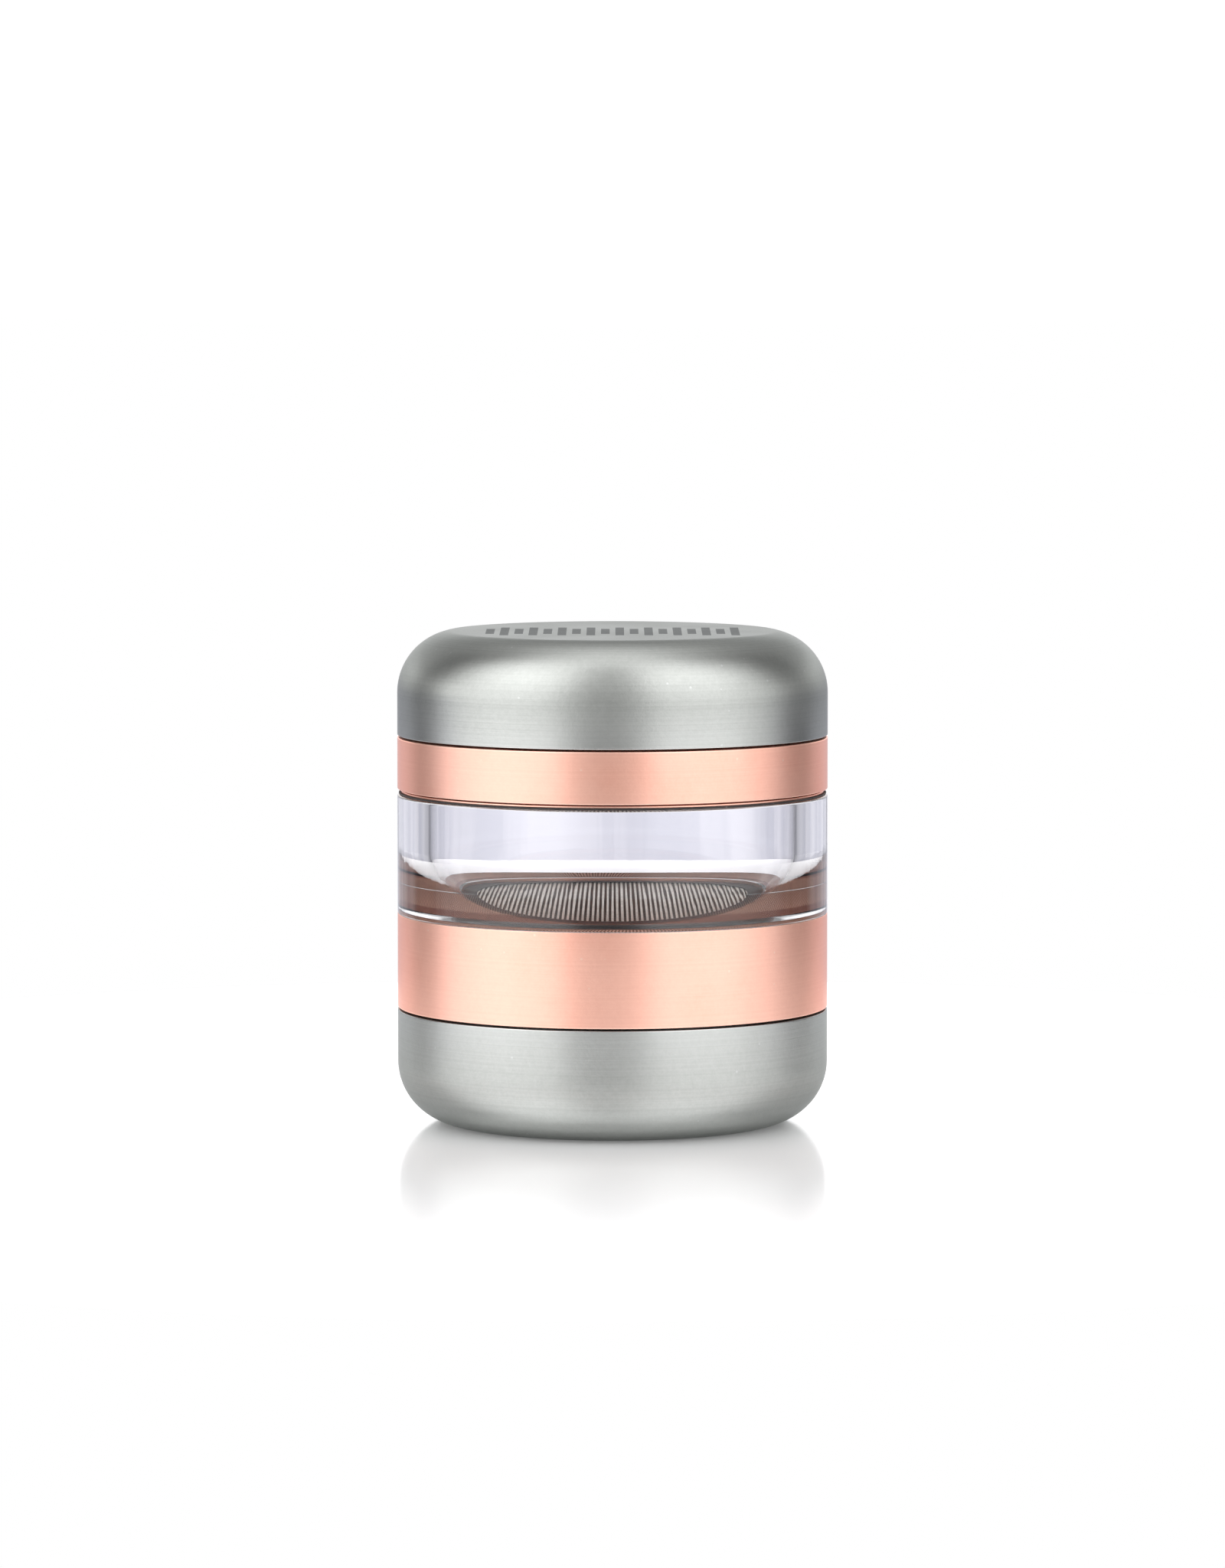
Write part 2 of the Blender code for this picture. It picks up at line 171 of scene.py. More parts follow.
def rounded_corner(before: Corner, corner: Corner, after: Corner) -> list[Vector]:
    """The points that replace a corner when its radius is worked in.

    Args:
        before: Corner that the outline comes from.
        corner: Corner to round.
        after: Corner that the outline goes to.

    Returns:
        The corner itself where it has no radius, and otherwise the points of its arc.
    """
    here = corner.place()
    if corner.radius <= 0.0:
        return [here]
    back = (before.place() - here).normalized()
    ahead = (after.place() - here).normalized()
    half = back.angle(ahead) / 2
    if half > STRAIGHT:
        return [here]
    run = corner.radius / math.tan(half)
    middle = here + (back + ahead).normalized() * corner.radius / math.sin(half)
    first = here + back * run - middle
    last = here + ahead * run - middle
    sweep = first.angle_signed(last)
    points = []
    for step in range(corner.steps + 1):
        turn = Matrix.Rotation(-sweep * step / corner.steps, 2)
        points.append(middle + turn @ first)
    return points


def outline_points(corners: list[Corner], closed: bool) -> list[Vector]:
    """All points of an outline, with its round corners worked in."""
    points = []
    last = len(corners) - 1
    for index, corner in enumerate(corners):
        if not closed and index in (0, last):
            points.append(corner.place())
            continue
        points += rounded_corner(corners[index - 1], corner, corners[(index + 1) % len(corners)])
    return with_supports(points, closed)


def with_supports(points: list[Vector], closed: bool) -> list[Vector]:
    """Adds a supporting point close to each end of every long side.

    The supports keep the shading of a long flat or straight wall true right up to its corners.

    Args:
        points: Points of the outline.
        closed: Whether the last point joins the first.

    Returns:
        The points with the supports between them.
    """
    held = []
    sides = len(points) if closed else len(points) - 1
    for index in range(sides):
        here, there = points[index], points[(index + 1) % len(points)]
        held.append(here)
        side = there - here
        if side.length > SUPPORT * 5.0:
            step = side.normalized() * SUPPORT
            held += [here + step, there - step]
    if not closed:
        held.append(points[-1])
    return held


def deselect() -> None:
    """Leaves edit mode, selects nothing and goes back to vertex select mode."""
    if bpy.context.mode != "OBJECT":
        bpy.ops.object.mode_set(mode="OBJECT")
    bpy.ops.object.select_all(action="DESELECT")
    bpy.context.tool_settings.mesh_select_mode = (True, False, False)


def pick(piece: bpy.types.Object) -> None:
    """Makes one object the only selected one, and the active one."""
    deselect()
    piece.select_set(True)
    bpy.context.view_layer.objects.active = piece


def edit(piece: bpy.types.Object, select: str = "SELECT") -> None:
    """Opens a piece in edit mode with all of it, or none of it, selected."""
    pick(piece)
    bpy.ops.object.mode_set(mode="EDIT")
    bpy.ops.mesh.select_all(action=select)


def edit_edges(piece: bpy.types.Object, wanted: Callable[[Vector, Vector], bool]) -> None:
    """Opens a piece in edit mode, in edge select mode, with only the wanted edges selected.

    Args:
        piece: The piece to open.
        wanted: Says from an edge's two ends whether the edge is wanted.
    """
    pick(piece)
    bpy.context.tool_settings.mesh_select_mode = (False, True, False)
    mesh = piece.data
    for kind in (mesh.vertices, mesh.edges, mesh.polygons):
        kind.foreach_set("select", [False] * len(kind))
    for edge in mesh.edges:
        first, second = (mesh.vertices[index].co for index in edge.vertices)
        edge.select = wanted(first, second)
    bpy.ops.object.mode_set(mode="EDIT")


def finish_mesh(piece: bpy.types.Object, angle: float = SMOOTH_ANGLE) -> bpy.types.Object:
    """Bakes a piece's place into its mesh and shades it smooth up to an angle."""
    pick(piece)
    bpy.ops.object.transform_apply(location=True, rotation=True, scale=True)
    bpy.ops.object.shade_smooth_by_angle(angle=angle)
    return piece


def apply_modifiers(piece: bpy.types.Object) -> None:
    """Applies every modifier of a piece, first to last."""
    pick(piece)
    for name in [modifier.name for modifier in piece.modifiers]:
        bpy.ops.object.modifier_apply(modifier=name)


def remove(piece: bpy.types.Object) -> None:
    """Removes a helper object."""
    bpy.data.objects.remove(piece, do_unlink=True)


def wire_outline(name: str, points: list[Vector], closed: bool) -> bpy.types.Object:
    """Draws an outline as a chain of edges, extruded point by point from one vertex.

    Args:
        name: Name of the new object.
        points: Points of the outline, as (r, z).
        closed: Whether the last point joins the first.

    Returns:
        The object, with the outline in its XZ plane.
    """
    deselect()
    bpy.ops.mesh.primitive_plane_add(size=MM, location=(0.0, 0.0, 0.0))
    piece = bpy.context.active_object
    piece.name = name
    bpy.ops.object.mode_set(mode="EDIT")
    bpy.ops.mesh.select_all(action="SELECT")
    bpy.ops.mesh.merge(type="CENTER")
    start = points[0]
    bpy.ops.transform.translate(value=(start.x, 0.0, start.y))
    for here, there in zip(points, points[1:]):
        step = there - here
        bpy.ops.mesh.extrude_region_move(TRANSFORM_OT_translate={"value": (step.x, 0.0, step.y)})
    if closed:
        bpy.ops.object.mode_set(mode="OBJECT")
        count = len(piece.data.vertices)
        for vertex in piece.data.vertices:
            vertex.select = vertex.index in (0, count - 1)
        bpy.ops.object.mode_set(mode="EDIT")
        bpy.ops.mesh.edge_face_add()
    bpy.ops.object.mode_set(mode="OBJECT")
    return piece


def mark_edges(piece: bpy.types.Object, corners: list[Corner]) -> None:
    """Writes a turned piece's edge attribute: 1 on its rounded corners and 0 away from them."""
    worn = [corner for corner in corners if corner.radius > 0.0]
    values = []
    for vertex in piece.data.vertices:
        here = Vector((math.hypot(vertex.co.x, vertex.co.y), vertex.co.z))
        near = min(((here - c.place()).length - c.radius for c in worn), default=1.0)
        values.append(max(0.0, min(1.0, 1.0 - near / POLISH_REACH)))
    attribute = piece.data.attributes.new(EDGE_ATTRIBUTE, "FLOAT", "POINT")
    attribute.data.foreach_set("value", values)


def turned(
    name: str, corners: list[Corner], closed: bool = True, steps: int = TURN_STEPS
) -> bpy.types.Object:
    """A turned piece: an outline spun once round the Z axis.

    Args:
        name: Name of the piece.
        corners: Outline, closed for a ring, or from axis to axis for a solid.
        closed: Whether the outline is a ring's section.
        steps: Number of steps round the axis.

    Returns:
        The closed mesh object.
    """
    piece = wire_outline(name, outline_points(corners, closed), closed)
    edit(piece)
    bpy.ops.mesh.spin(steps=steps, angle=math.tau, center=(0.0, 0.0, 0.0), axis=(0.0, 0.0, 1.0))
    bpy.ops.mesh.select_all(action="SELECT")
    bpy.ops.mesh.remove_doubles(threshold=MERGE)
    bpy.ops.mesh.normals_make_consistent(inside=False)
    finish_mesh(piece)
    mark_edges(piece, corners)
    return piece


def combine(piece: bpy.types.Object, helper: bpy.types.Object, operation: Operation) -> None:
    """Joins a helper to a piece or cuts it from the piece, and removes the helper."""
    step = piece.modifiers.new("combine", "BOOLEAN")
    step.operation = operation.value
    step.object = helper
    step.solver = "EXACT"
    apply_modifiers(piece)
    remove(helper)


def joined(pieces: list[bpy.types.Object]) -> bpy.types.Object:
    """Several objects as one mesh object, with its place applied."""
    deselect()
    for piece in pieces:
        piece.select_set(True)
    bpy.context.view_layer.objects.active = pieces[0]
    bpy.ops.object.join()
    bpy.ops.object.transform_apply(location=True, rotation=True, scale=True)
    return pieces[0]


def copies_round(piece: bpy.types.Object, count: int) -> list[bpy.types.Object]:
    """Copies of a piece evenly round the axis, with +X half-way between two of them.

    Args:
        piece: The modelled piece, standing on the +X side. It is used up.
        count: Number of copies.

    Returns:
        The copies, each with its own mesh.
    """
    made = []
    for step in range(count):
        copy = piece.copy()
        copy.data = piece.data.copy()
        bpy.context.scene.collection.objects.link(copy)
        turn = Matrix.Rotation(math.tau * (step + 0.5) / count, 4, "Z")
        copy.matrix_world = turn @ piece.matrix_world
        made.append(copy)
    remove(piece)
    return made


@dataclass(frozen=True)
class Thread:
    """A right-handed screw thread on a spigot and in the bore round it."""

    start: float
    turns: float
    pitch: float = 1.5 * MM
    spigot: float = 28.3 * MM
    crest: float = 29.05 * MM
    groove: float = 29.35 * MM
    root_width: float = 0.8 * MM
    crest_width: float = 0.3 * MM
    play: float = 0.2 * MM
    buried: float = 0.3 * MM
    run_out: float = 0.07

    def helix(
        self, section: list[tuple[float, float]], start: float, turns: float
    ) -> bpy.types.Object:
        """A closed helical bar.

        Args:
            section: Points of its section, as (r, height from the middle).
            start: Height of its lower end at angle 0.
            turns: Number of turns it climbs.

        Returns:
            The bar as a closed mesh object.
        """
        points = [Vector((r, start + dz)) for r, dz in section]
        bar = wire_outline("helix", points, True)
        screw = bar.modifiers.new("climb", "SCREW")
        screw.axis = "Z"
        screw.angle = math.tau * turns
        screw.screw_offset = self.pitch * turns
        screw.steps = round(THREAD_STEPS * turns)
        screw.render_steps = screw.steps
        apply_modifiers(bar)
        edit(bar)
        bpy.ops.mesh.remove_doubles(threshold=MERGE)
        bpy.ops.mesh.select_all(action="DESELECT")
        bpy.ops.mesh.select_non_manifold()
        bpy.ops.mesh.fill_holes(sides=0)
        bpy.ops.mesh.select_all(action="SELECT")
        bpy.ops.mesh.normals_make_consistent(inside=False)
        deselect()
        return bar

    def raise_on(self, piece: bpy.types.Object) -> None:
        """Joins the raised thread to a piece's spigot."""
        root = self.spigot - self.buried
        section = [
            (self.crest, self.crest_width / 2),
            (self.crest, -self.crest_width / 2),
            (self.spigot, -self.root_width / 2),
            (root, -self.root_width / 2),
            (root, self.root_width / 2),
            (self.spigot, self.root_width / 2),
        ]
        combine(piece, self.helix(section, self.start, self.turns), Operation.JOIN)

    def cut_in(self, piece: bpy.types.Object, mouth: float) -> None:
        """Cuts the groove in a piece's bore, out through the mouth at that height."""
        half_crest = self.crest_width / 2 + self.play
        half_root = self.root_width / 2 + self.play
        inside = self.spigot - self.buried
        section = [
            (self.groove, half_crest),
            (self.groove, -half_crest),
            (self.spigot, -half_root),
            (inside, -half_root),
            (inside, half_root),
            (self.spigot, half_root),
        ]
        steps_below = math.ceil((self.start + self.root_width - mouth) / self.pitch * THREAD_STEPS)
        below = (steps_below + 0.5) / THREAD_STEPS
        above = self.turns + self.run_out
        bar = self.helix(section, self.start - below * self.pitch, below + above)
        bar.data.transform(Matrix.Rotation(-math.tau * below, 4, "Z"))
        combine(piece, bar, Operation.CUT)


@dataclass(frozen=True)
class ToothRing:
    """One ring of diamond teeth, milled from a floor or a ceiling."""

    radius: float
    count: int
    root: float
    tip: float
    across: float = 1.5 * MM
    around: float = 2.2 * MM
    taper: float = 0.82
    edge: float = 0.16 * MM
    buried: float = 0.6 * MM

    def build(self) -> list[bpy.types.Object]:
        """Models one tooth with broken edges and copies it round the ring.

        Returns:
            The teeth as separate objects.
        """
        rises = self.tip > self.root
        root = self.root - self.buried if rises else self.root + self.buried
        deselect()
        bpy.ops.mesh.primitive_cone_add(
            vertices=4,
            radius1=1.0 if rises else self.taper,
            radius2=self.taper if rises else 1.0,
            depth=abs(self.tip - root),
            location=(self.radius, 0.0, (self.tip + root) / 2),
        )
        tooth = bpy.context.active_object
        bpy.ops.object.mode_set(mode="EDIT")
        bpy.ops.transform.resize(
            value=(self.across, self.around, 1.0),
            center_override=(self.radius, 0.0, self.tip),
        )
        bpy.ops.object.mode_set(mode="OBJECT")
        bpy.ops.object.transform_apply(location=True, rotation=True, scale=True)
        middle = (self.tip + root) / 2
        if rises:
            edit_edges(tooth, lambda a, b: max(a.z, b.z) > middle)
        else:
            edit_edges(tooth, lambda a, b: min(a.z, b.z) < middle)
        bpy.ops.mesh.bevel(offset=self.edge, segments=2, affect="EDGES")
        deselect()
        return copies_round(tooth, self.count)


# ---------------------------------------------------------------- node tools


class NodeBench:
    """A node tree under construction, with short calls to add and link nodes."""

    def __init__(self, tree: bpy.types.NodeTree) -> None:
        """Takes the tree to build in."""
        self.tree = tree

    def add(self, kind: str, inputs: dict | None = None, **settings: object) -> bpy.types.Node:
        """Adds a node.

        Args:
            kind: Node type, without its ShaderNode prefix.
            inputs: Values or output sockets by input name or number.
            settings: Properties to set on the node.

        Returns:
            The new node.
        """
        node = self.tree.nodes.new("ShaderNode" + kind)
        for name, value in settings.items():
            setattr(node, name, value)
        self.feed(node, inputs or {})
        return node

    def feed(self, node: bpy.types.Node, inputs: dict) -> None:
        """Gives a node's inputs, by name or number, their values or output sockets."""
        for name, value in inputs.items():
            if isinstance(value, bpy.types.NodeSocket):
                self.tree.links.new(value, node.inputs[name])
            else:
                node.inputs[name].default_value = value

    def math(self, operation: str, *values: object) -> bpy.types.NodeSocket:
        """The result of a Math node on up to three values or sockets."""
        return self.add("Math", dict(enumerate(values)), operation=operation).outputs[0]

    def times(self, first: object, second: object) -> bpy.types.NodeSocket:
        """The product of two values or sockets."""
        return self.math("MULTIPLY", first, second)

    def inverse(self, value: object) -> bpy.types.NodeSocket:
        """One minus a value."""
        return self.math("SUBTRACT", 1.0, value)

    def blend(self, factor: object, first: object, second: object) -> bpy.types.NodeSocket:
        """The colour between two colours at a factor."""
        node = self.add("Mix", {0: factor, 6: first, 7: second}, data_type="RGBA")
        return node.outputs[2]

    def spread(
        self, value: object, low: float, high: float, start: float = 0.0, end: float = 1.0
    ) -> bpy.types.NodeSocket:
        """A value mapped smoothly from low..high to start..end."""
        node = self.add(
            "MapRange",
            {"Value": value, "From Min": low, "From Max": high, "To Min": start, "To Max": end},
            interpolation_type="SMOOTHSTEP",
        )
        return node.outputs["Result"]

    def objects(self) -> bpy.types.NodeSocket:
        """The Object coordinates, which are the frame's metres."""
        return self.add("TexCoord").outputs["Object"]

    def axes(self) -> bpy.types.NodeOutputs:
        """The three Object coordinates, one by one."""
        return self.add("SeparateXYZ", {0: self.objects()}).outputs

    def radius(self, axes: bpy.types.NodeOutputs) -> bpy.types.NodeSocket:
        """The distance from the Z axis."""
        flat = self.add("CombineXYZ", {0: axes[0], 1: axes[1]}).outputs[0]
        return self.add("VectorMath", {0: flat}, operation="LENGTH").outputs["Value"]

    def noise(
        self, vector: object, scale: object, detail: float, roughness: float = 0.5
    ) -> bpy.types.NodeSocket:
        """The value of a 3-D noise."""
        inputs = {"Vector": vector, "Scale": scale, "Detail": detail, "Roughness": roughness}
        return self.add("TexNoise", inputs).outputs["Fac"]

    def streaks(self, along: object, scale: object, **more: float) -> bpy.types.NodeSocket:
        """The value of a 1-D noise."""
        inputs = {"W": along, "Scale": scale, "Detail": 3.0, **more}
        return self.add("TexNoise", inputs, noise_dimensions="1D").outputs["Fac"]

    def bump(
        self, height: object, strength: float, distance: float, **more: object
    ) -> bpy.types.NodeSocket:
        """The normal of a Bump node."""
        inputs = {"Height": height, "Strength": strength, "Distance": distance, **more}
        return self.add("Bump", inputs).outputs[0]


def new_group(
    name: str, inputs: dict[str, float], outputs: list[str]
) -> tuple[NodeBench, bpy.types.NodeOutputs, bpy.types.Node]:
    """An empty node group with named float sockets.

    Args:
        name: Name of the group.
        inputs: Default of each input by name.
        outputs: Names of the outputs.

    Returns:
        A bench that works in the group, the inputs' sockets and the node that takes the outputs.
    """
    group = bpy.data.node_groups.new(name, "ShaderNodeTree")
    kind = "NodeSocketFloat"
    for label, default in inputs.items():
        socket = group.interface.new_socket(name=label, in_out="INPUT", socket_type=kind)
        socket.default_value = default
    for label in outputs:
        group.interface.new_socket(name=label, in_out="OUTPUT", socket_type=kind)
    given = group.nodes.new("NodeGroupInput").outputs
    return NodeBench(group), given, group.nodes.new("NodeGroupOutput")


def blasted_grain_group() -> bpy.types.NodeTree:
    """Fine bead-blasted grain with a soft large-scale cloud.

    Outputs: Tone, the grain as a value round 0.5; Cloud, a slow variation; Height, for bump.
    """
    defaults = {"Grain Scale": 3000.0, "Cloud Scale": 60.0}
    bench, given, leave = new_group("blasted_grain", defaults, ["Tone", "Cloud", "Height"])
    place = bench.objects()
    grain = bench.noise(place, given["Grain Scale"], 2.0, 0.6)
    coarse_scale = bench.times(given["Grain Scale"], 0.37)
    coarse = bench.noise(place, coarse_scale, 1.0)
    cloud = bench.noise(place, given["Cloud Scale"], 3.0)
    tone = bench.math("MULTIPLY_ADD", coarse, 0.4, bench.times(grain, 0.6))
    bench.feed(leave, {"Tone": tone, "Cloud": cloud, "Height": tone})
    return bench.tree


def turning_rings_group() -> bpy.types.NodeTree:
    """Fine rings left by the lathe: they follow the height on a side, and the radius on a flat.

    Outputs: Line, the rings as a value round 0.5.
    """
    bench, given, leave = new_group("turning_rings", {"Ring Scale": 2500.0}, ["Line"])
    axes = bench.axes()
    along = bench.math("SUBTRACT", bench.radius(axes), axes[2])
    bench.feed(leave, {"Line": bench.streaks(along, given["Ring Scale"], Roughness=0.7)})
    return bench.tree


def specks_group() -> bpy.types.NodeTree:
    """Sparse tiny specks and nicks.

    Outputs: Mask, 1 on a speck.
    """
    bench, given, leave = new_group("specks", {"Speck Scale": 900.0, "Amount": 0.25}, ["Mask"])
    place = bench.objects()
    cells = bench.add("TexVoronoi", {"Vector": place, "Scale": given["Speck Scale"]})
    near = bench.math("LESS_THAN", cells.outputs["Distance"], 0.16)
    chosen = bench.add("SeparateColor", {0: cells.outputs["Color"]}).outputs[0]
    rare = bench.math("LESS_THAN", chosen, given["Amount"])
    bench.feed(leave, {"Mask": bench.times(near, rare)})
    return bench.tree


def etched_band_group() -> bpy.types.NodeTree:
    """A plain etched row of upright bars, long and short in turn, straight across.

    Outputs: Mask, 1 where the surface is etched.
    """
    defaults = {"Pitch": 2.1 * MM, "Half Length": 9.5 * MM, "Reach": 18.8 * MM, "Offset": 2.0 * MM}
    bench, given, leave = new_group("etched_band", defaults, ["Mask"])
    axes = bench.axes()
    cell = bench.math("DIVIDE", axes[0], given["Pitch"])
    inside = bench.math("ABSOLUTE", bench.math("SUBTRACT", bench.math("FRACT", cell), 0.5))
    odd = bench.math("FLOORED_MODULO", bench.math("FLOOR", cell), 2.0)
    shifted = bench.math("ADD", axes[1], given["Offset"])
    along = bench.math("ABSOLUTE", bench.math("DIVIDE", shifted, given["Half Length"]))
    short = bench.math("MULTIPLY_ADD", odd, -0.35, 1.0)
    bar = bench.times(bench.math("LESS_THAN", inside, 0.3), bench.math("LESS_THAN", along, short))
    near = bench.math("LESS_THAN", bench.math("ABSOLUTE", axes[0]), given["Reach"])
    bench.feed(leave, {"Mask": bench.times(bar, near)})
    return bench.tree


class Effects:
    """The node groups that the finishes share, each built once."""

    def __init__(self) -> None:
        """Builds every group."""
        self.grain = blasted_grain_group()
        self.rings = turning_rings_group()
        self.specks = specks_group()
        self.etched = etched_band_group()

    @staticmethod
    def use(bench: NodeBench, group: bpy.types.NodeTree, **values: float) -> bpy.types.NodeOutputs:
        """Places a group in a material and returns its outputs."""
        node = bench.tree.nodes.new("ShaderNodeGroup")
        node.node_tree = group
        for name, value in values.items():
            node.inputs[name.replace("_", " ")].default_value = value
        return node.outputs


def new_material(name: str) -> tuple[bpy.types.Material, NodeBench, bpy.types.Node]:
    """A node material with its bench and its Principled shader."""
    made = bpy.data.materials.new(name)
    made.use_nodes = True
    return made, NodeBench(made.node_tree), made.node_tree.nodes["Principled BSDF"]


def rgba(colour: Colour) -> tuple[float, float, float, float]:
    """A colour with full alpha."""
    return (*colour, 1.0)


# ---------------------------------------------------------------- finishes


@dataclass(frozen=True)
class SatinMetal:
    """Turned, bead-blasted and anodised metal."""

    name: str
    colour: Colour
    shade: Colour
    edge: Colour
    tint: Colour
    roughness: float
    grain_bump: float
    ring_bump: float
    coat: float = 0.0
    metallic: float = 1.0
    etched: bool = False
    etched_colour: Colour = (0.16, 0.165, 0.17)
    etched_depth: float = 0.2 * MM
    coat_roughness: float = 0.26
    coat_ior: float = 2.0
    spread: float = 0.025

    def build(self, effects: Effects) -> bpy.types.Material:
        """Builds the material.

        Args:
            effects: The shared node groups.

        Returns:
            The finished material.
        """
        made, bench, shader = new_material(self.name)
        grain = Effects.use(bench, effects.grain, Grain_Scale=3200.0, Cloud_Scale=70.0)
        rings = Effects.use(bench, effects.rings, Ring_Scale=2600.0)
        specks = Effects.use(bench, effects.specks, Speck_Scale=900.0, Amount=0.03)
        tone = bench.math("MULTIPLY_ADD", rings["Line"], 0.45, bench.times(grain["Tone"], 0.55))
        factor = bench.spread(tone, 0.32, 0.68)
        body = bench.blend(factor, rgba(self.shade), rgba(self.colour))
        worn = bench.add("Attribute", attribute_name=EDGE_ATTRIBUTE).outputs["Fac"]
        broken = bench.times(worn, bench.spread(grain["Cloud"], 0.3, 0.6, 0.45, 1.0))
        body = bench.blend(bench.times(broken, 0.55), body, rgba(self.edge))
        body = bench.blend(bench.times(specks["Mask"], 0.45), body, rgba(self.edge))
        smooth, dull = self.roughness - self.spread, self.roughness + self.spread
        rough = bench.spread(grain["Cloud"], 0.3, 0.7, smooth, dull)
        rough = bench.math("SUBTRACT", rough, bench.times(broken, 0.08))
        if self.etched:
            mask = Effects.use(bench, effects.etched)["Mask"]
            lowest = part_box("lid")[1].z - self.etched_depth
            top = bench.math("GREATER_THAN", bench.axes()[2], lowest)
            mask = bench.times(mask, top)
            body = bench.blend(bench.times(mask, 0.8), body, rgba(self.etched_colour))
            rough = bench.math("MULTIPLY_ADD", mask, 0.18, rough)
        fine = bench.bump(grain["Height"], self.grain_bump, 0.05 * MM)
        looks = {
            "Base Color": body,
            "Roughness": rough,
            "Metallic": self.metallic,
            "Specular Tint": rgba(self.tint),
            "Coat Weight": self.coat,
            "Coat Roughness": self.coat_roughness,
            "Coat IOR": self.coat_ior,
            "Normal": bench.bump(rings["Line"], self.ring_bump, 0.03 * MM, Normal=fine),
        }
        bench.feed(shader, looks)
        return made


@dataclass(frozen=True)
class BrightMetal:
    """Plain steel or nickel with faint marks."""

    name: str
    colour: Colour
    roughness: float

    def build(self, effects: Effects) -> bpy.types.Material:
        """Builds the material from the shared groups."""
        made, bench, shader = new_material(self.name)
        grain = Effects.use(bench, effects.grain, Grain_Scale=1800.0, Cloud_Scale=240.0)
        rings = Effects.use(bench, effects.rings, Ring_Scale=1500.0)
        dark = tuple(channel * 0.82 for channel in self.colour)
        body = bench.blend(bench.spread(grain["Tone"], 0.35, 0.65), rgba(dark), rgba(self.colour))
        rough = bench.spread(grain["Cloud"], 0.3, 0.7, self.roughness - 0.05, self.roughness + 0.07)
        normal = bench.bump(rings["Line"], 0.25, 0.02 * MM)
        looks = {"Base Color": body, "Roughness": rough, "Metallic": 1.0, "Normal": normal}
        bench.feed(shader, looks)
        return made


@dataclass(frozen=True)
class SoftPlastic:
    """Silicone or nylon: no metal, fine mould grain and a little dust."""

    name: str
    colour: Colour
    dust: Colour
    roughness: float
    dust_amount: float = 0.2

    def build(self, effects: Effects) -> bpy.types.Material:
        """Builds the material from the shared groups."""
        made, bench, shader = new_material(self.name)
        grain = Effects.use(bench, effects.grain, Grain_Scale=2400.0, Cloud_Scale=180.0)
        specks = Effects.use(bench, effects.specks, Speck_Scale=1300.0, Amount=self.dust_amount)
        lighter = tuple(min(1.0, channel * 1.3 + 0.01) for channel in self.colour)
        tone = bench.spread(grain["Tone"], 0.35, 0.65)
        body = bench.blend(tone, rgba(self.colour), rgba(lighter))
        body = bench.blend(bench.times(specks["Mask"], 0.5), body, rgba(self.dust))
        rough = bench.spread(grain["Cloud"], 0.3, 0.7, self.roughness - 0.06, self.roughness + 0.06)
        normal = bench.bump(grain["Height"], 0.3, 0.04 * MM)
        bench.feed(shader, {"Base Color": body, "Roughness": rough, "Normal": normal})
        return made


@dataclass(frozen=True)
class BondFilm:
    """The bond below the glass: matt, wet against the glass, over a fine slanted knurl that is only
    painted, with light ridges and grooves in painted shade.
    """

    name: str
    colour: Colour
    groove_shade: Colour
    marks: int = 352
    slant: float = 0.9
    squeeze: float = 25.3 * MM
    squeeze_run: float = 0.4 * MM

    def build(self, effects: Effects) -> bpy.types.Material:
        """Builds the material from the shared groups."""
        made, bench, shader = new_material(self.name)
        grain = Effects.use(bench, effects.grain, Grain_Scale=2600.0, Cloud_Scale=150.0)
        axes = bench.axes()
        radius = bench.radius(axes)
        turn = bench.times(bench.math("ARCTAN2", axes[1], axes[0]), float(self.marks))
        lean = bench.times(radius, self.slant / MM)
        wave = bench.math("SINE", bench.math("ADD", turn, lean))
        knurl = bench.math("MULTIPLY_ADD", wave, 0.5, 0.5)
        raised = bench.spread(knurl, 0.25, 0.75)
        mixed = bench.times(raised, bench.spread(grain["Tone"], 0.3, 0.6, 0.75, 1.0))
        squeezed = bench.spread(radius, self.squeeze, self.squeeze + self.squeeze_run)
        mixed = bench.times(mixed, squeezed)
        # Blends the grooves' painted shade with the lit ridge colour; inside the squeeze radius the
        # bond is painted wholly in this shade.
        body = bench.blend(mixed, rgba(self.groove_shade), rgba(self.colour))
        rough = bench.spread(grain["Cloud"], 0.3, 0.7, 0.5, 0.6)
        bench.feed(shader, {"Base Color": body, "Roughness": rough, "Specular IOR Level": 0.0})
        return made


@dataclass(frozen=True)
class ThickGlass:
    """Clear drawn glass with faint draw lines down its wall and a few tiny scratches."""

    name: str
    colour: Colour
    ior: float
    draw_bump: float
    stretch: float = 0.05
    speck: Colour = (0.6, 0.58, 0.6)

    def build(self, effects: Effects) -> bpy.types.Material:
        """Builds the material from the shared groups."""
        made, bench, shader = new_material(self.name)
        specks = Effects.use(bench, effects.specks, Speck_Scale=420.0, Amount=0.012)
        drawn = {"Vector": bench.objects(), "Scale": (1.0, 1.0, self.stretch)}
        tall = bench.add("Mapping", drawn).outputs[0]
        lines = bench.noise(tall, 420.0, 2.0)
        waves = bench.noise(tall, 130.0, 1.0)
        height = bench.math("MULTIPLY_ADD", waves, 1.6, lines)
        marked = bench.times(specks["Mask"], 0.5)
        looks = {
            "Base Color": bench.blend(marked, rgba(self.colour), rgba(self.speck)),
            "Roughness": bench.math("MULTIPLY_ADD", specks["Mask"], 0.22, 0.012),
            "Metallic": 0.0,
            "Transmission Weight": 1.0,
            "IOR": self.ior,
            "Normal": bench.bump(height, self.draw_bump, 0.05 * MM),
        }
        bench.feed(shader, looks)
        return made


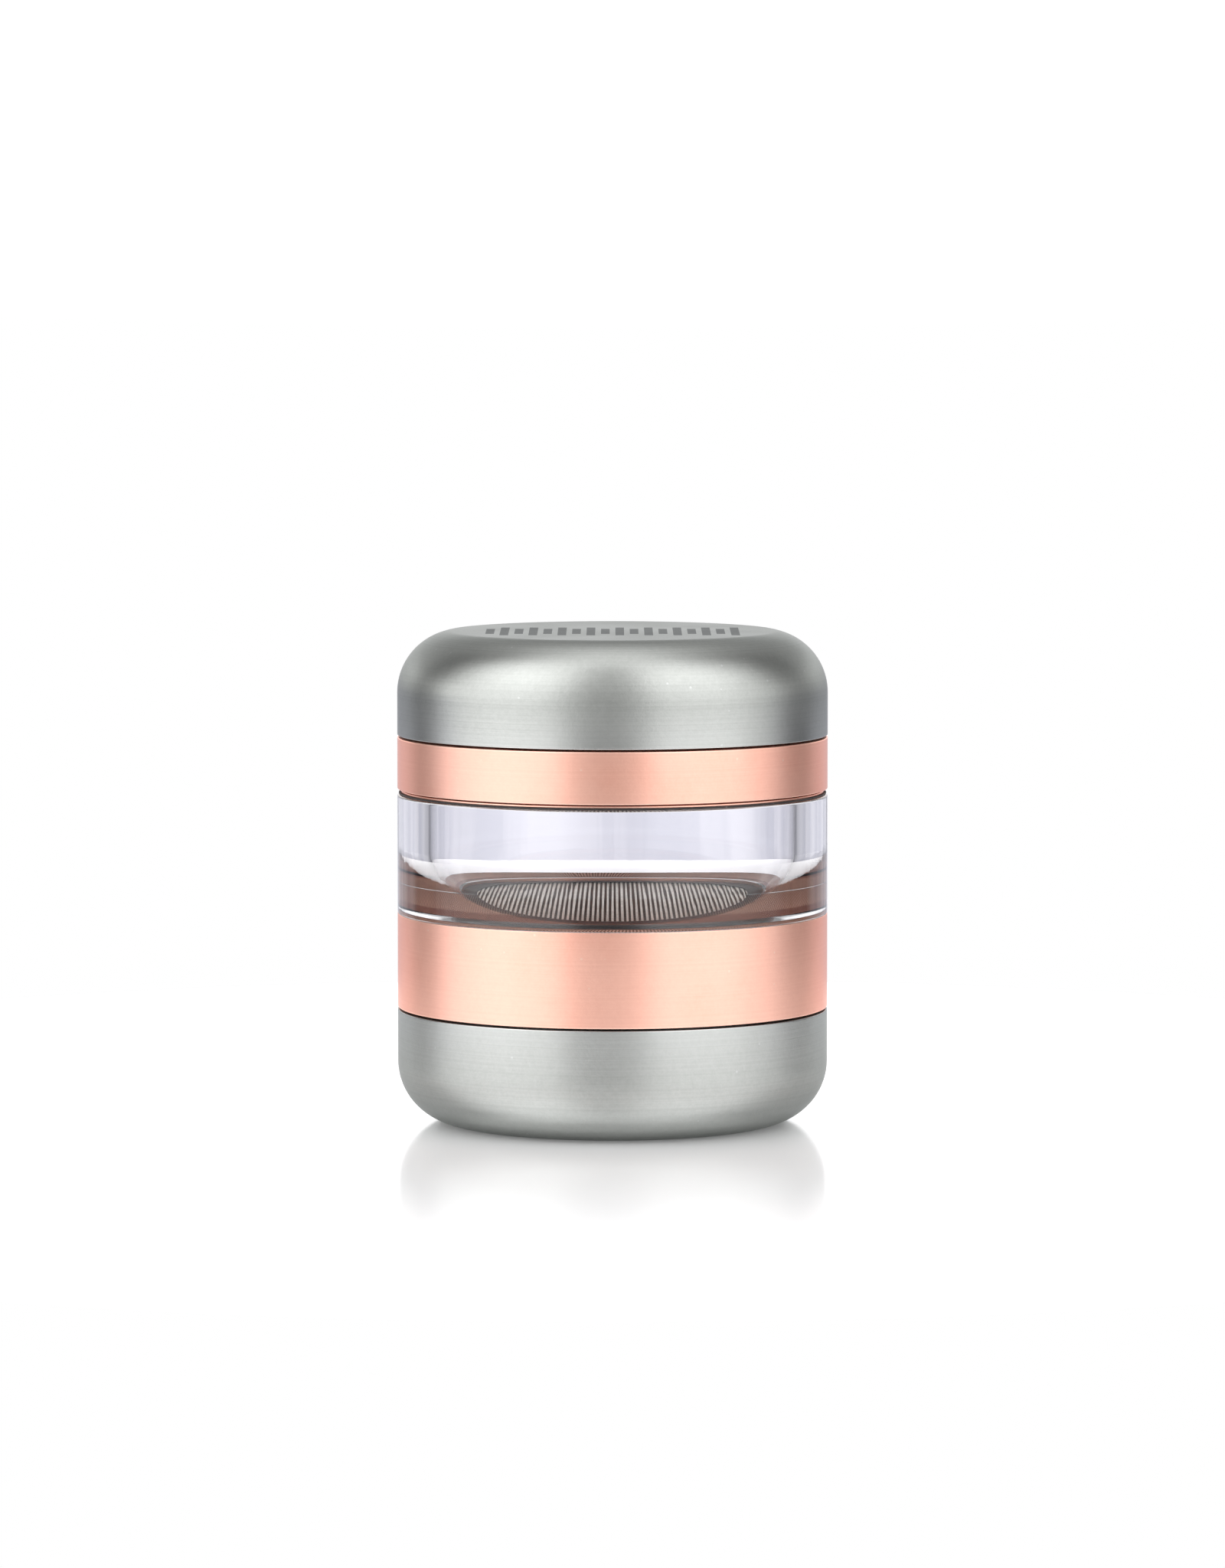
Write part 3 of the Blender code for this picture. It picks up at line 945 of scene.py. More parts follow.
class Palette:
    """Every finish of the grinder, built once."""

    def __init__(self) -> None:
        """Builds the shared groups and the materials."""
        effects = Effects()
        grey = {
            "colour": (0.475, 0.487, 0.470),
            "shade": (0.415, 0.427, 0.410),
            "edge": (0.64, 0.65, 0.65),
            "tint": (0.55, 0.56, 0.56),
            "roughness": 0.33,
            "grain_bump": 0.32,
            "ring_bump": 0.42,
        }
        rose = {
            "colour": (1.00, 0.48, 0.355),
            "shade": (0.94, 0.42, 0.305),
            "edge": (0.98, 0.70, 0.58),
            "tint": (0.85, 0.40, 0.29),
            "roughness": 0.33,
            "grain_bump": 0.34,
            "ring_bump": 0.14,
            "coat": 0.6,
            "metallic": 0.78,
        }
        black, black_dust = (0.012, 0.012, 0.013), (0.25, 0.22, 0.2)
        white, white_dust = (0.78, 0.77, 0.73), (0.5, 0.46, 0.4)
        # The cross wires are the same steel painted much darker: painted shade for warp wires lying
        # under the weft.
        shaded_cross_colour = (0.20, 0.155, 0.13)
        self.titanium = SatinMetal("titanium_satin", **grey).build(effects)
        self.titanium_top = SatinMetal("titanium_lid", **grey, etched=True).build(effects)
        self.rose = SatinMetal("rose_satin", **rose).build(effects)
        self.steel = BrightMetal("stainless_wire", (0.80, 0.77, 0.69), 0.34).build(effects)
        self.shaded_cross_steel = BrightMetal("stainless_cross_wire_painted_shade", shaded_cross_colour, 0.45).build(effects)
        self.nickel = BrightMetal("nickel_plate", (0.74, 0.72, 0.68), 0.18).build(effects)
        self.silicone = SoftPlastic("black_silicone", black, black_dust, 0.55).build(effects)
        self.nylon = SoftPlastic("white_nylon", white, white_dust, 0.42).build(effects)
        # The bond's second, darker colour is painted shade for the grooves of its painted knurl.
        self.bond = BondFilm("bond_film", (1.0, 0.62, 0.47), (0.42, 0.19, 0.14)).build(effects)
        self.glass = ThickGlass("thick_glass", (0.975, 0.97, 0.99), 1.5, 0.25).build(effects)


# ---------------------------------------------------------------- sub-assemblies


@dataclass(frozen=True)
class Dressed:
    """The body that a finished piece goes on, the name of a material slot, and the CAD nodes that
    it stands for.
    """

    body: str
    slot: str
    nodes: tuple[str, ...]


def hand_over(piece: bpy.types.Object, finish: bpy.types.Material, dress: Dressed) -> None:
    """Dresses a piece, puts it on its body and lets it stand for its CAD nodes.

    Args:
        piece: The finished mesh.
        finish: Its material.
        dress: Its body, material slot and the nodes that it replaces.
    """
    piece.data.materials.clear()
    piece.data.materials.append(finish)
    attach(piece, dress.body)
    if dress.nodes:
        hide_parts(*dress.nodes)
    log.info("%s: %d faces on %s", piece.name, len(piece.data.polygons), dress.body)


@dataclass(frozen=True)
class Stack:
    """Heights and radii that all the bands share, read from the frame."""

    radius: float
    height: float
    cup_rim: float
    collar_mouth: float
    glass_low: float
    glass_top: float
    flange_low: float
    flange_top: float
    plate_low: float
    plate_ledge: float
    lid_rim: float
    corner: float = 9.1 * MM
    sweep: float = 80.0
    well: float = 26.0 * MM
    bore: float = 28.75 * MM
    edge: float = 0.14 * MM
    seam: float = 0.3 * MM
    flange_height: float = 0.32 * MM

    @classmethod
    def read(cls) -> "Stack":
        """Reads the heights of the bands from the CAD nodes' boxes."""
        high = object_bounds()[1]
        lid_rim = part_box("lid")[0].z
        flange_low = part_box("glass_neck_ring")[0].z
        collar_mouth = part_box("lower_collar")[0].z
        glass_low, glass_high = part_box("glass_chamber")
        return cls(
            radius=high[0],
            height=high[2],
            cup_rim=collar_mouth - cls.seam,
            collar_mouth=collar_mouth,
            glass_low=glass_low.z,
            glass_top=glass_high.z,
            flange_low=flange_low,
            flange_top=flange_low + cls.flange_height,
            plate_low=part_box("tooth_plate")[0].z,
            plate_ledge=lid_rim - cls.seam,
            lid_rim=lid_rim,
        )

    def corner_rise(self) -> float:
        """Height of the round corner, from its flat to where the side begins."""
        return self.corner * math.sin(math.radians(self.sweep))

    def round_corner(self, z: float, start: float, end: float) -> list[Corner]:
        """The lid's or the cup's round corner, with its centre at a height."""
        return arc(self.radius - self.corner, z, self.corner, start, end, 22)


@dataclass(frozen=True)
class Cup:
    """The catch cup, with its thread and the gasket above it."""

    stack: Stack
    floor: float = 2.8 * MM
    well_corner: float = 6.0 * MM
    gasket_bore: float = 26.25 * MM
    thread: Thread = Thread(17.6 * MM, 1.5)

    def outline(self) -> list[Corner]:
        """The cup's section, from the middle of its floor over the rim to its base."""
        stack, bend, spigot = self.stack, self.well_corner, self.thread.spigot
        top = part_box("bottom_cup")[1].z
        corners = [Corner(0.0, self.floor)]
        corners += arc(stack.well - bend, self.floor + bend, bend, -90, 0, 10)
        corners += [
            Corner(stack.well, top, 0.25 * MM),
            Corner(spigot, top, 0.35 * MM),
            Corner(spigot, stack.cup_rim),
            Corner(stack.radius, stack.cup_rim, stack.edge),
        ]
        corners += stack.round_corner(stack.corner_rise(), 0, -stack.sweep)
        corners += [Corner(0.0, 0.0)]
        return corners

    def build(self, palette: Palette) -> None:
        """Models the cup and its gasket and hands them over."""
        cup = turned("catch_cup", self.outline(), closed=False)
        self.thread.raise_on(cup)
        finish_mesh(cup)
        hand_over(cup, palette.titanium, Dressed("cup", "titanium_metal", ("bottom_cup",)))
        low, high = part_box("cup_gasket")
        section = ring_section(self.gasket_bore, high.x, low.z, high.z, 0.2 * MM)
        dress = Dressed("chamber_seal", "black_silicone", ("cup_gasket",))
        hand_over(turned("cup_seal", section), palette.silicone, dress)


@dataclass(frozen=True)
class Collar:
    """The wide rose band, which holds the sieve below the glass."""

    stack: Stack
    shoulder: float = 22.1 * MM
    passage: float = 21.4 * MM
    passage_top: float = 25.55 * MM
    pocket: float = 24.15 * MM
    pocket_floor: float = 27.05 * MM
    bond_overlap: float = 0.008 * MM
    bond_height: float = 0.06 * MM
    bond_inside: float = 0.02 * MM
    bond_inset: float = 0.22 * MM
    bond_edge: float = 0.01 * MM
    glass_gap: float = 0.015 * MM
    thread: Thread = Thread(17.6 * MM, 1.5)

    def outline(self) -> list[Corner]:
        """The collar's closed section."""
        stack = self.stack
        top = stack.glass_low - self.glass_gap
        return [
            Corner(stack.radius, top, 0.07 * MM),
            Corner(stack.radius, stack.collar_mouth, stack.edge),
            Corner(stack.bore, stack.collar_mouth, 0.2 * MM),
            Corner(stack.bore, self.shoulder),
            Corner(stack.well, self.shoulder, 0.2 * MM),
            Corner(self.passage, self.passage_top, 0.4 * MM),
            Corner(self.passage, self.pocket_floor, 0.2 * MM),
            Corner(self.pocket, self.pocket_floor),
            Corner(self.pocket, top, 0.1 * MM),
        ]

    def build(self, palette: Palette) -> None:
        """Models the collar and the bond between it and the glass."""
        collar = turned("sieve_collar", self.outline())
        self.thread.cut_in(collar, self.stack.collar_mouth)
        finish_mesh(collar)
        hand_over(collar, palette.rose, Dressed("chamber", "rose_metal", ("lower_collar",)))
        low = self.stack.glass_low - self.bond_height
        high = self.stack.glass_low + self.bond_overlap
        inner = self.pocket + self.bond_inside
        outer = self.stack.radius - self.bond_inset
        section = ring_section(inner, outer, low, high, self.bond_edge)
        dress = Dressed("chamber", "bond_line", ("lower_glass_seal",))
        hand_over(turned("glass_bond", section), palette.bond, dress)


@dataclass(frozen=True)
class Sieve:
    """The woven screen, its hoop and its silicone gasket."""

    pitch: float = 0.70 * MM
    wire: float = 0.19 * MM
    cross_wire: float = 0.12 * MM
    weave: float = 0.035 * MM
    lift: float = 0.05 * MM
    drop: float = 0.15 * MM
    sides: int = 6
    reach: float = 22.2 * MM
    opening: float = 20.9 * MM
    skirt: float = 22.6 * MM
    hoop: float = 21.1 * MM
    lip: float = 0.2 * MM
    hoop_gap: float = 0.25 * MM

    def single_wire(
        self, name: str, phase: float, height: float, radius: float
    ) -> bpy.types.Object:
        """Models one woven wire along X: a rod that is subdivided and set into waves.

        Args:
            name: Name of the wire.
            phase: Phase of its waves, in radians.
            height: Height of its middle line.
            radius: Radius of the wire.

        Returns:
            The wire, centred on the axis.
        """
        half_waves = 2 * math.ceil(self.reach / self.pitch)
        length = half_waves * self.pitch
        deselect()
        bpy.ops.mesh.primitive_cylinder_add(
            vertices=self.sides,
            radius=radius,
            depth=length,
            location=(0.0, 0.0, height),
            rotation=(0.0, math.pi / 2, 0.0),
        )
        rod = bpy.context.active_object
        rod.name = name
        bpy.ops.object.transform_apply(location=True, rotation=True, scale=True)
        edit_edges(rod, lambda a, b: abs(a.x - b.x) > length / 2)
        bpy.ops.mesh.subdivide(number_cuts=half_waves * 3 - 1)
        deselect()
        for vertex in rod.data.vertices:
            vertex.co.z += self.weave * math.cos(math.pi * vertex.co.x / self.pitch + phase)
        return rod

    def layer(
        self, name: str, height: float, radius: float, quarter_turn: bool
    ) -> bpy.types.Object:
        """All wires that run one way, trimmed to the round of the hoop.

        Args:
            name: Name of the piece.
            height: Height of the wires' middle plane.
            radius: Radius of the wires.
            quarter_turn: Whether the wires run along Y.

        Returns:
            The layer as one mesh.
        """
        rows = math.floor(self.reach / self.pitch)
        flip = math.pi if quarter_turn else 0.0
        wires = []
        for parity in (0, 1):
            base = self.single_wire(f"{name}_{parity}", flip + math.pi * parity, height, radius)
            for row in range(-rows, rows + 1):
                if row % 2 == parity:
                    wires.append(self.trimmed_copy(base, row * self.pitch))
            remove(base)
        sheet = joined(wires)
        sheet.name = name
        if quarter_turn:
            sheet.data.transform(Matrix.Rotation(math.pi / 2, 4, "Z"))
        return finish_mesh(sheet, math.radians(60.0))

    def trimmed_copy(self, base: bpy.types.Object, offset: float) -> bpy.types.Object:
        """A copy of a wire set aside by an offset and cut to the length of its chord."""
        wire = base.copy()
        wire.data = base.data.copy()
        bpy.context.scene.collection.objects.link(wire)
        wire.data.transform(Matrix.Translation((0.0, offset, 0.0)))
        half = math.sqrt(max(self.reach**2 - offset**2, self.pitch**2))
        edit(wire)
        for side in (-1.0, 1.0):
            bpy.ops.mesh.select_all(action="SELECT")
            bpy.ops.mesh.bisect(
                plane_co=(side * half, 0.0, 0.0),
                plane_no=(side, 0.0, 0.0),
                use_fill=True,
                clear_outer=True,
            )
        deselect()
        return wire

    def build(self, palette: Palette) -> None:
        """Models the weave, the hoop and the gasket."""
        low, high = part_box("screen_mesh")
        middle = (low.z + high.z) / 2
        dress = Dressed("chamber", "stainless_steel", ("screen_mesh",))
        # The warp wires get the darkened steel: painted shade under the weft wires.
        warp = self.layer("screen_warp", middle - self.drop, self.cross_wire, False)
        hand_over(warp, palette.shaded_cross_steel, dress)
        weft = self.layer("screen_weft", middle + self.lift, self.wire, True)
        hand_over(weft, palette.steel, dress)
        low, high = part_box("screen_frame")
        section = ring_section(self.hoop, high.x, low.z, high.z - self.hoop_gap, 0.2 * MM)
        dress = Dressed("chamber", "stainless_steel", ("screen_frame",))
        hand_over(turned("screen_hoop", section), palette.steel, dress)
        low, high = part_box("screen_gasket")
        corners = [
            Corner(high.x, high.z, 0.35 * MM, 4),
            Corner(high.x, low.z, 0.2 * MM),
            Corner(self.skirt, low.z, 0.1 * MM),
            Corner(self.skirt, high.z - self.lip),
            Corner(self.opening, high.z - self.lip),
            Corner(self.opening, high.z, 0.08 * MM),
        ]
        dress = Dressed("chamber", "black_silicone", ("screen_gasket",))
        hand_over(turned("screen_rim", corners), palette.silicone, dress)


@dataclass(frozen=True)
class GlassUnit:
    """The thick glass, the seal on top of it and the threaded neck."""

    stack: Stack
    bore: float = 26.7 * MM
    fillet_width: float = 7.6 * MM
    fillet_height: float = 11.5 * MM
    fillet_top: float = 40.2 * MM
    fillet_steps: int = 40
    edge: float = 0.3 * MM
    seal_gap: float = 0.05 * MM
    seal_bore: float = 26.95 * MM
    seal_inset: float = 0.2 * MM
    flange: float = 30.95 * MM
    thread: Thread = Thread(49.6 * MM, 1.25)

    def glass_outline(self) -> list[Corner]:
        """The glass's closed section, with the round inside bottom."""
        stack = self.stack
        lowest = math.asin((self.fillet_top - stack.glass_low) / self.fillet_height)
        corners = [
            Corner(stack.radius, stack.glass_top, self.edge),
            Corner(stack.radius, stack.glass_low, 0.12 * MM),
        ]
        for step in range(self.fillet_steps + 1):
            angle = lowest * (1 - step / self.fillet_steps)
            r = self.bore - self.fillet_width * (1 - math.cos(angle))
            corners.append(Corner(r, self.fillet_top - self.fillet_height * math.sin(angle)))
        corners += [Corner(self.bore, stack.glass_top, self.edge)]
        return corners

    def build(self, palette: Palette) -> None:
        """Models the glass, the seal and the neck."""
        stack = self.stack
        glass = turned("glass_wall", self.glass_outline(), steps=GLASS_STEPS)
        hand_over(glass, palette.glass, Dressed("chamber", "clear_glass", ("glass_chamber",)))
        low = stack.glass_top + self.seal_gap
        outer = stack.radius - self.seal_inset
        section = ring_section(self.seal_bore, outer, low, stack.flange_low, 0.06 * MM)
        dress = Dressed("chamber", "black_silicone", ("upper_glass_seal",))
        hand_over(turned("glass_top_seal", section), palette.silicone, dress)
        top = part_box("glass_neck_ring")[1].z
        corners = [
            Corner(self.thread.spigot, top, 0.3 * MM),
            Corner(self.thread.spigot, stack.flange_top),
            Corner(self.flange, stack.flange_top, 0.08 * MM),
            Corner(self.flange, stack.flange_low, 0.08 * MM),
            Corner(self.bore, stack.flange_low, 0.1 * MM),
            Corner(self.bore, top, 0.3 * MM),
        ]
        neck = turned("glass_neck", corners)
        self.thread.raise_on(neck)
        finish_mesh(neck)
        hand_over(neck, palette.rose, Dressed("chamber", "rose_metal", ("glass_neck_ring",)))


@dataclass(frozen=True)
class MagnetHub:
    """The sizes of the two magnet hubs, which face each other on the axis."""

    radius: float = 5.2 * MM
    pocket: float = 4.2 * MM
    depth: float = 3.8 * MM
    edge: float = 0.3 * MM
    dimple_radius: float = 1.6 * MM
    dimple_run: float = 0.5 * MM

    def disc(self, name: str, node: str, dimple: float) -> bpy.types.Object:
        """A disc in the place of a node, with a round edge, and dimpled on the face that shows.

        Args:
            name: Name of the piece.
            node: CAD node that it stands for.
            dimple: Depth of the dimple: above 0 in the top face, below 0 in the bottom one.

        Returns:
            The turned disc.
        """
        low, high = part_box(node)
        wide, mouth = self.dimple_radius, self.dimple_radius + self.dimple_run
        top_middle = high.z - max(dimple, 0.0)
        low_middle = low.z - min(dimple, 0.0)
        corners = [
            Corner(0.0, top_middle),
            Corner(wide, top_middle, 0.3 * MM),
            Corner(mouth, high.z, 0.3 * MM),
            Corner(high.x, high.z, 0.15 * MM),
            Corner(high.x, low.z, 0.15 * MM),
            Corner(mouth, low.z, 0.3 * MM),
            Corner(wide, low_middle, 0.3 * MM),
            Corner(0.0, low_middle),
        ]
        return turned(name, corners, closed=False, steps=HUB_STEPS)


@dataclass(frozen=True)
class Plate:
    """The toothed plate, whose rim is the narrow rose band."""

    stack: Stack
    underside: float = 52.9 * MM
    floor: float = 55.5 * MM
    wall_inner: float = 27.2 * MM
    wall_outer: float = 28.7 * MM
    wall_top: float = 63.0 * MM
    hub_top: float = 60.9 * MM
    hole: float = 1.9 * MM
    gasket_bore: float = 26.95 * MM
    hub: MagnetHub = MagnetHub()
    thread: Thread = Thread(49.6 * MM, 1.25)
    rings: Stops = ((11.2 * MM, 6), (18.4 * MM, 10), (25.3 * MM, 14))
    holes: Stops = ((7.5 * MM, 5), (14.8 * MM, 9), (22.0 * MM, 14))

    def outline(self) -> list[Corner]:
        """The plate's section, from the bottom of the magnet's pocket round to the underside."""
        stack, hub = self.stack, self.hub
        pocket = self.hub_top - hub.depth
        return [
            Corner(0.0, pocket),
            Corner(hub.pocket, pocket, 0.1 * MM),
            Corner(hub.pocket, self.hub_top, 0.1 * MM),
            Corner(hub.radius, self.hub_top, hub.edge),
            Corner(hub.radius, self.floor, 0.5 * MM),
            Corner(self.wall_inner, self.floor, 0.8 * MM),
            Corner(self.wall_inner, self.wall_top, 0.3 * MM),
            Corner(self.wall_outer, self.wall_top, 0.4 * MM),
            Corner(self.wall_outer, stack.plate_ledge, 0.15 * MM),
            Corner(stack.radius, stack.plate_ledge, stack.edge),
            Corner(stack.radius, stack.plate_low, stack.edge),
            Corner(stack.bore, stack.plate_low, 0.2 * MM),
            Corner(stack.bore, self.underside, 0.3 * MM),
            Corner(0.0, self.underside),
        ]

    def drill(self, plate: bpy.types.Object) -> None:
        """Cuts the drop holes, each with a broken edge at the floor."""
        cutters = []
        for radius, count in self.holes:
            corners = [
                Corner(0.0, self.floor + 1.0 * MM),
                Corner(self.hole + 1.25 * MM, self.floor + 1.0 * MM),
                Corner(self.hole, self.floor - 0.25 * MM),
                Corner(self.hole, self.underside - 1.0 * MM),
                Corner(0.0, self.underside - 1.0 * MM),
            ]
            cutter = turned("drill", corners, closed=False, steps=DRILL_STEPS)
            cutter.matrix_world = Matrix.Translation((radius, 0.0, 0.0))
            cutters += copies_round(cutter, count)
        combine(plate, joined(cutters), Operation.CUT)

    def build(self, palette: Palette) -> None:
        """Models the plate, its teeth, its magnet and its gasket."""
        plate = turned("grinding_plate", self.outline(), closed=False)
        self.thread.cut_in(plate, self.stack.plate_low)
        self.drill(plate)
        teeth = []
        for radius, count in self.rings:
            teeth += ToothRing(radius, count, self.floor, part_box("tooth_plate")[1].z).build()
        combine(plate, joined(teeth), Operation.JOIN)
        finish_mesh(plate)
        hand_over(plate, palette.rose, Dressed("plate", "rose_metal", ("tooth_plate",)))
        magnet = self.hub.disc("lower_magnet", "plate_magnet", 0.0)
        hand_over(magnet, palette.nickel, Dressed("plate", "nickel_plate", ("plate_magnet",)))
        cap = self.hub.disc("lower_magnet_cap", "plate_magnet_cap", 0.15 * MM)
        hand_over(cap, palette.steel, Dressed("plate", "stainless_steel", ("plate_magnet_cap",)))
        low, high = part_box("plate_gasket")
        section = ring_section(self.gasket_bore, high.x, low.z, high.z, 0.12 * MM)
        dress = Dressed("plate_seal", "black_silicone", ("plate_gasket",))
        hand_over(turned("neck_seal", section), palette.silicone, dress)


@dataclass(frozen=True)
class Lid:
    """The domed lid with its teeth, its magnet and the nylon ring that it turns on."""

    stack: Stack
    skirt: float = 29.2 * MM
    ceiling: float = 67.8 * MM
    inner_corner: float = 5.5 * MM
    tooth_tip: float = 57.5 * MM
    hub_low: float = 61.4 * MM
    groove: float = 29.8 * MM
    groove_low: float = 58.6 * MM
    groove_top: float = 60.2 * MM
    ring_bore: float = 28.95 * MM
    hub: MagnetHub = MagnetHub()
    rings: Stops = ((7.6 * MM, 4), (14.8 * MM, 8), (22.0 * MM, 12))

    def outline(self) -> list[Corner]:
        """The lid's section, from the middle of its top round to the magnet's pocket."""
        stack, hub, bend = self.stack, self.hub, self.inner_corner
        corners = [Corner(0.0, stack.height)]
        corners += stack.round_corner(stack.height - stack.corner_rise(), stack.sweep, 0)
        corners += [
            Corner(stack.radius, stack.lid_rim, stack.edge),
            Corner(self.skirt, stack.lid_rim, 0.3 * MM),
            Corner(self.skirt, self.groove_low, 0.1 * MM),
            Corner(self.groove, self.groove_low),
            Corner(self.groove, self.groove_top),
            Corner(self.skirt, self.groove_top, 0.1 * MM),
        ]
        corners += arc(self.skirt - bend, self.ceiling - bend, bend, 0, 90, 12)
        corners += [
            Corner(hub.radius, self.ceiling, 0.5 * MM),
            Corner(hub.radius, self.hub_low, hub.edge),
            Corner(hub.pocket, self.hub_low, 0.1 * MM),
            Corner(hub.pocket, self.hub_low + hub.depth, 0.1 * MM),
            Corner(0.0, self.hub_low + hub.depth),
        ]
        return corners

    def build(self, palette: Palette) -> None:
        """Models the lid, its teeth, its magnet and its nylon ring."""
        lid = turned("domed_lid", self.outline(), closed=False)
        teeth = []
        for radius, count in self.rings:
            teeth += ToothRing(radius, count, self.ceiling, self.tooth_tip).build()
        combine(lid, joined(teeth), Operation.JOIN)
        finish_mesh(lid)
        hand_over(lid, palette.titanium_top, Dressed("lid_body", "titanium_metal", ("lid",)))
        magnet = self.hub.disc("upper_magnet", "lid_magnet", 0.0)
        hand_over(magnet, palette.nickel, Dressed("lid_body", "nickel_plate", ("lid_magnet",)))
        cap = self.hub.disc("upper_magnet_cap", "lid_magnet_cap", -0.15 * MM)
        hand_over(cap, palette.steel, Dressed("lid_body", "stainless_steel", ("lid_magnet_cap",)))
        low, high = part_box("lid_friction_ring")
        section = ring_section(self.ring_bore, high.x, low.z, high.z, 0.2 * MM)
        dress = Dressed("lid_ring", "white_nylon", ("lid_friction_ring",))
        hand_over(turned("nylon_slip_ring", section), palette.nylon, dress)


# ---------------------------------------------------------------- studio


@dataclass(frozen=True)
class Surround:
    """The light that comes from all round, as a painted studio.

    The stops give the light's level at an angle in degrees. Azimuth is 0 towards the
    camera and grows towards +X. The front rise and the back rise are elevations.
    Low down at the back hangs a pale veil with upright streaks, seen through the glass.
    """

    power: float = 1.28
    peak: float = 1.5
    facing_from: float = -0.35
    facing_to: float = 0.15
    steep_from: float = 55.0
    steep_to: float = 88.0
    veil_top: float = 3.0
    veil_dark: tuple[float, float, float, float] = (0.80, 0.81, 0.91, 1.0)
    veil_light: tuple[float, float, float, float] = (1.02, 1.02, 1.10, 1.0)
    azimuth: Stops = (
        (-180.0, 1.0),
        (-152.0, 0.92),
        (-138.0, 0.75),
        (-127.0, 0.20),
        (-115.0, 0.24),
        (-95.0, 1.15),
        (-62.0, 1.42),
        (-34.0, 1.30),
        (-16.0, 0.40),
        (0.0, 0.32),
        (10.0, 0.45),
        (28.0, 1.25),
        (62.0, 1.28),
        (88.0, 0.85),
        (112.0, 0.20),
        (126.0, 0.18),
        (138.0, 0.72),
        (152.0, 0.92),
        (180.0, 1.0),
    )
    front_rise: Stops = (
        (-90.0, 0.55),
        (-12.0, 0.80),
        (0.0, 0.98),
        (18.0, 1.08),
        (42.0, 1.35),
        (66.0, 1.15),
        (90.0, 1.05),
    )
    back_rise: Stops = (
        (-90.0, 0.62),
        (-3.0, 0.70),
        (3.0, 1.0),
        (10.0, 1.35),
        (22.0, 0.62),
        (34.0, 0.38),
        (48.0, 0.38),
        (64.0, 0.80),
        (78.0, 1.05),
        (90.0, 1.05),
    )

    def ramp(self, bench: NodeBench, degrees: object, stops: Stops) -> bpy.types.NodeSocket:
        """A level that runs smoothly through the stops, none of which passes the peak.

        Args:
            bench: Bench to work on.
            degrees: Socket with the angle in degrees.
            stops: Pairs of angle and level, in rising order of angle.

        Returns:
            The socket with the level.
        """
        low, high = stops[0][0], stops[-1][0]
        share = bench.math("DIVIDE", bench.math("SUBTRACT", degrees, low), high - low)
        node = bench.add("ValToRGB", {0: share})
        colours = node.color_ramp
        colours.interpolation = "EASE"
        for index, (angle, level) in enumerate(stops):
            place = (angle - low) / (high - low)
            stop = colours.elements[index] if index < 2 else colours.elements.new(place)
            stop.position = place
            stop.color = (level / self.peak,) * 3 + (1.0,)
        return bench.times(node.outputs[0], self.peak)

    def build(self) -> None:
        """Sets the world: painted for all rays but the camera's, which see white."""
        world = bpy.data.worlds.new("white_studio")
        bpy.context.scene.world = world
        world.use_nodes = True
        bench = NodeBench(world.node_tree)
        shader = world.node_tree.nodes["Background"]
        way = bench.add("SeparateXYZ", {0: bench.add("TexCoord").outputs["Generated"]}).outputs
        front = bench.times(way[1], -1.0)
        turn = bench.math("DEGREES", bench.math("ARCTAN2", way[0], front))
        rise = bench.math("DEGREES", bench.math("ARCSINE", way[2]))
        around = self.ramp(bench, turn, self.azimuth)
        ahead = self.ramp(bench, rise, self.front_rise)
        behind = self.ramp(bench, rise, self.back_rise)
        facing = bench.spread(front, self.facing_from, self.facing_to)
        away = bench.inverse(facing)
        height = bench.math("ADD", bench.times(facing, ahead), bench.times(away, behind))
        steep = bench.spread(rise, self.steep_from, self.steep_to)
        flat = bench.times(around, bench.inverse(steep))
        level = bench.times(height, bench.math("ADD", flat, steep))
        level = bench.times(level, self.power)
        seen = bench.add("LightPath").outputs["Is Camera Ray"]
        streaks = bench.spread(bench.streaks(turn, 0.16), 0.32, 0.66)
        veil = bench.blend(streaks, self.veil_dark, self.veil_light)
        far_low = bench.times(away, bench.spread(rise, self.veil_top, -self.veil_top))
        veiled = bench.times(far_low, bench.inverse(seen))
        colour = bench.blend(veiled, WHITE, veil)
        bench.feed(shader, {"Color": colour, "Strength": bench.math("MAXIMUM", level, seen)})


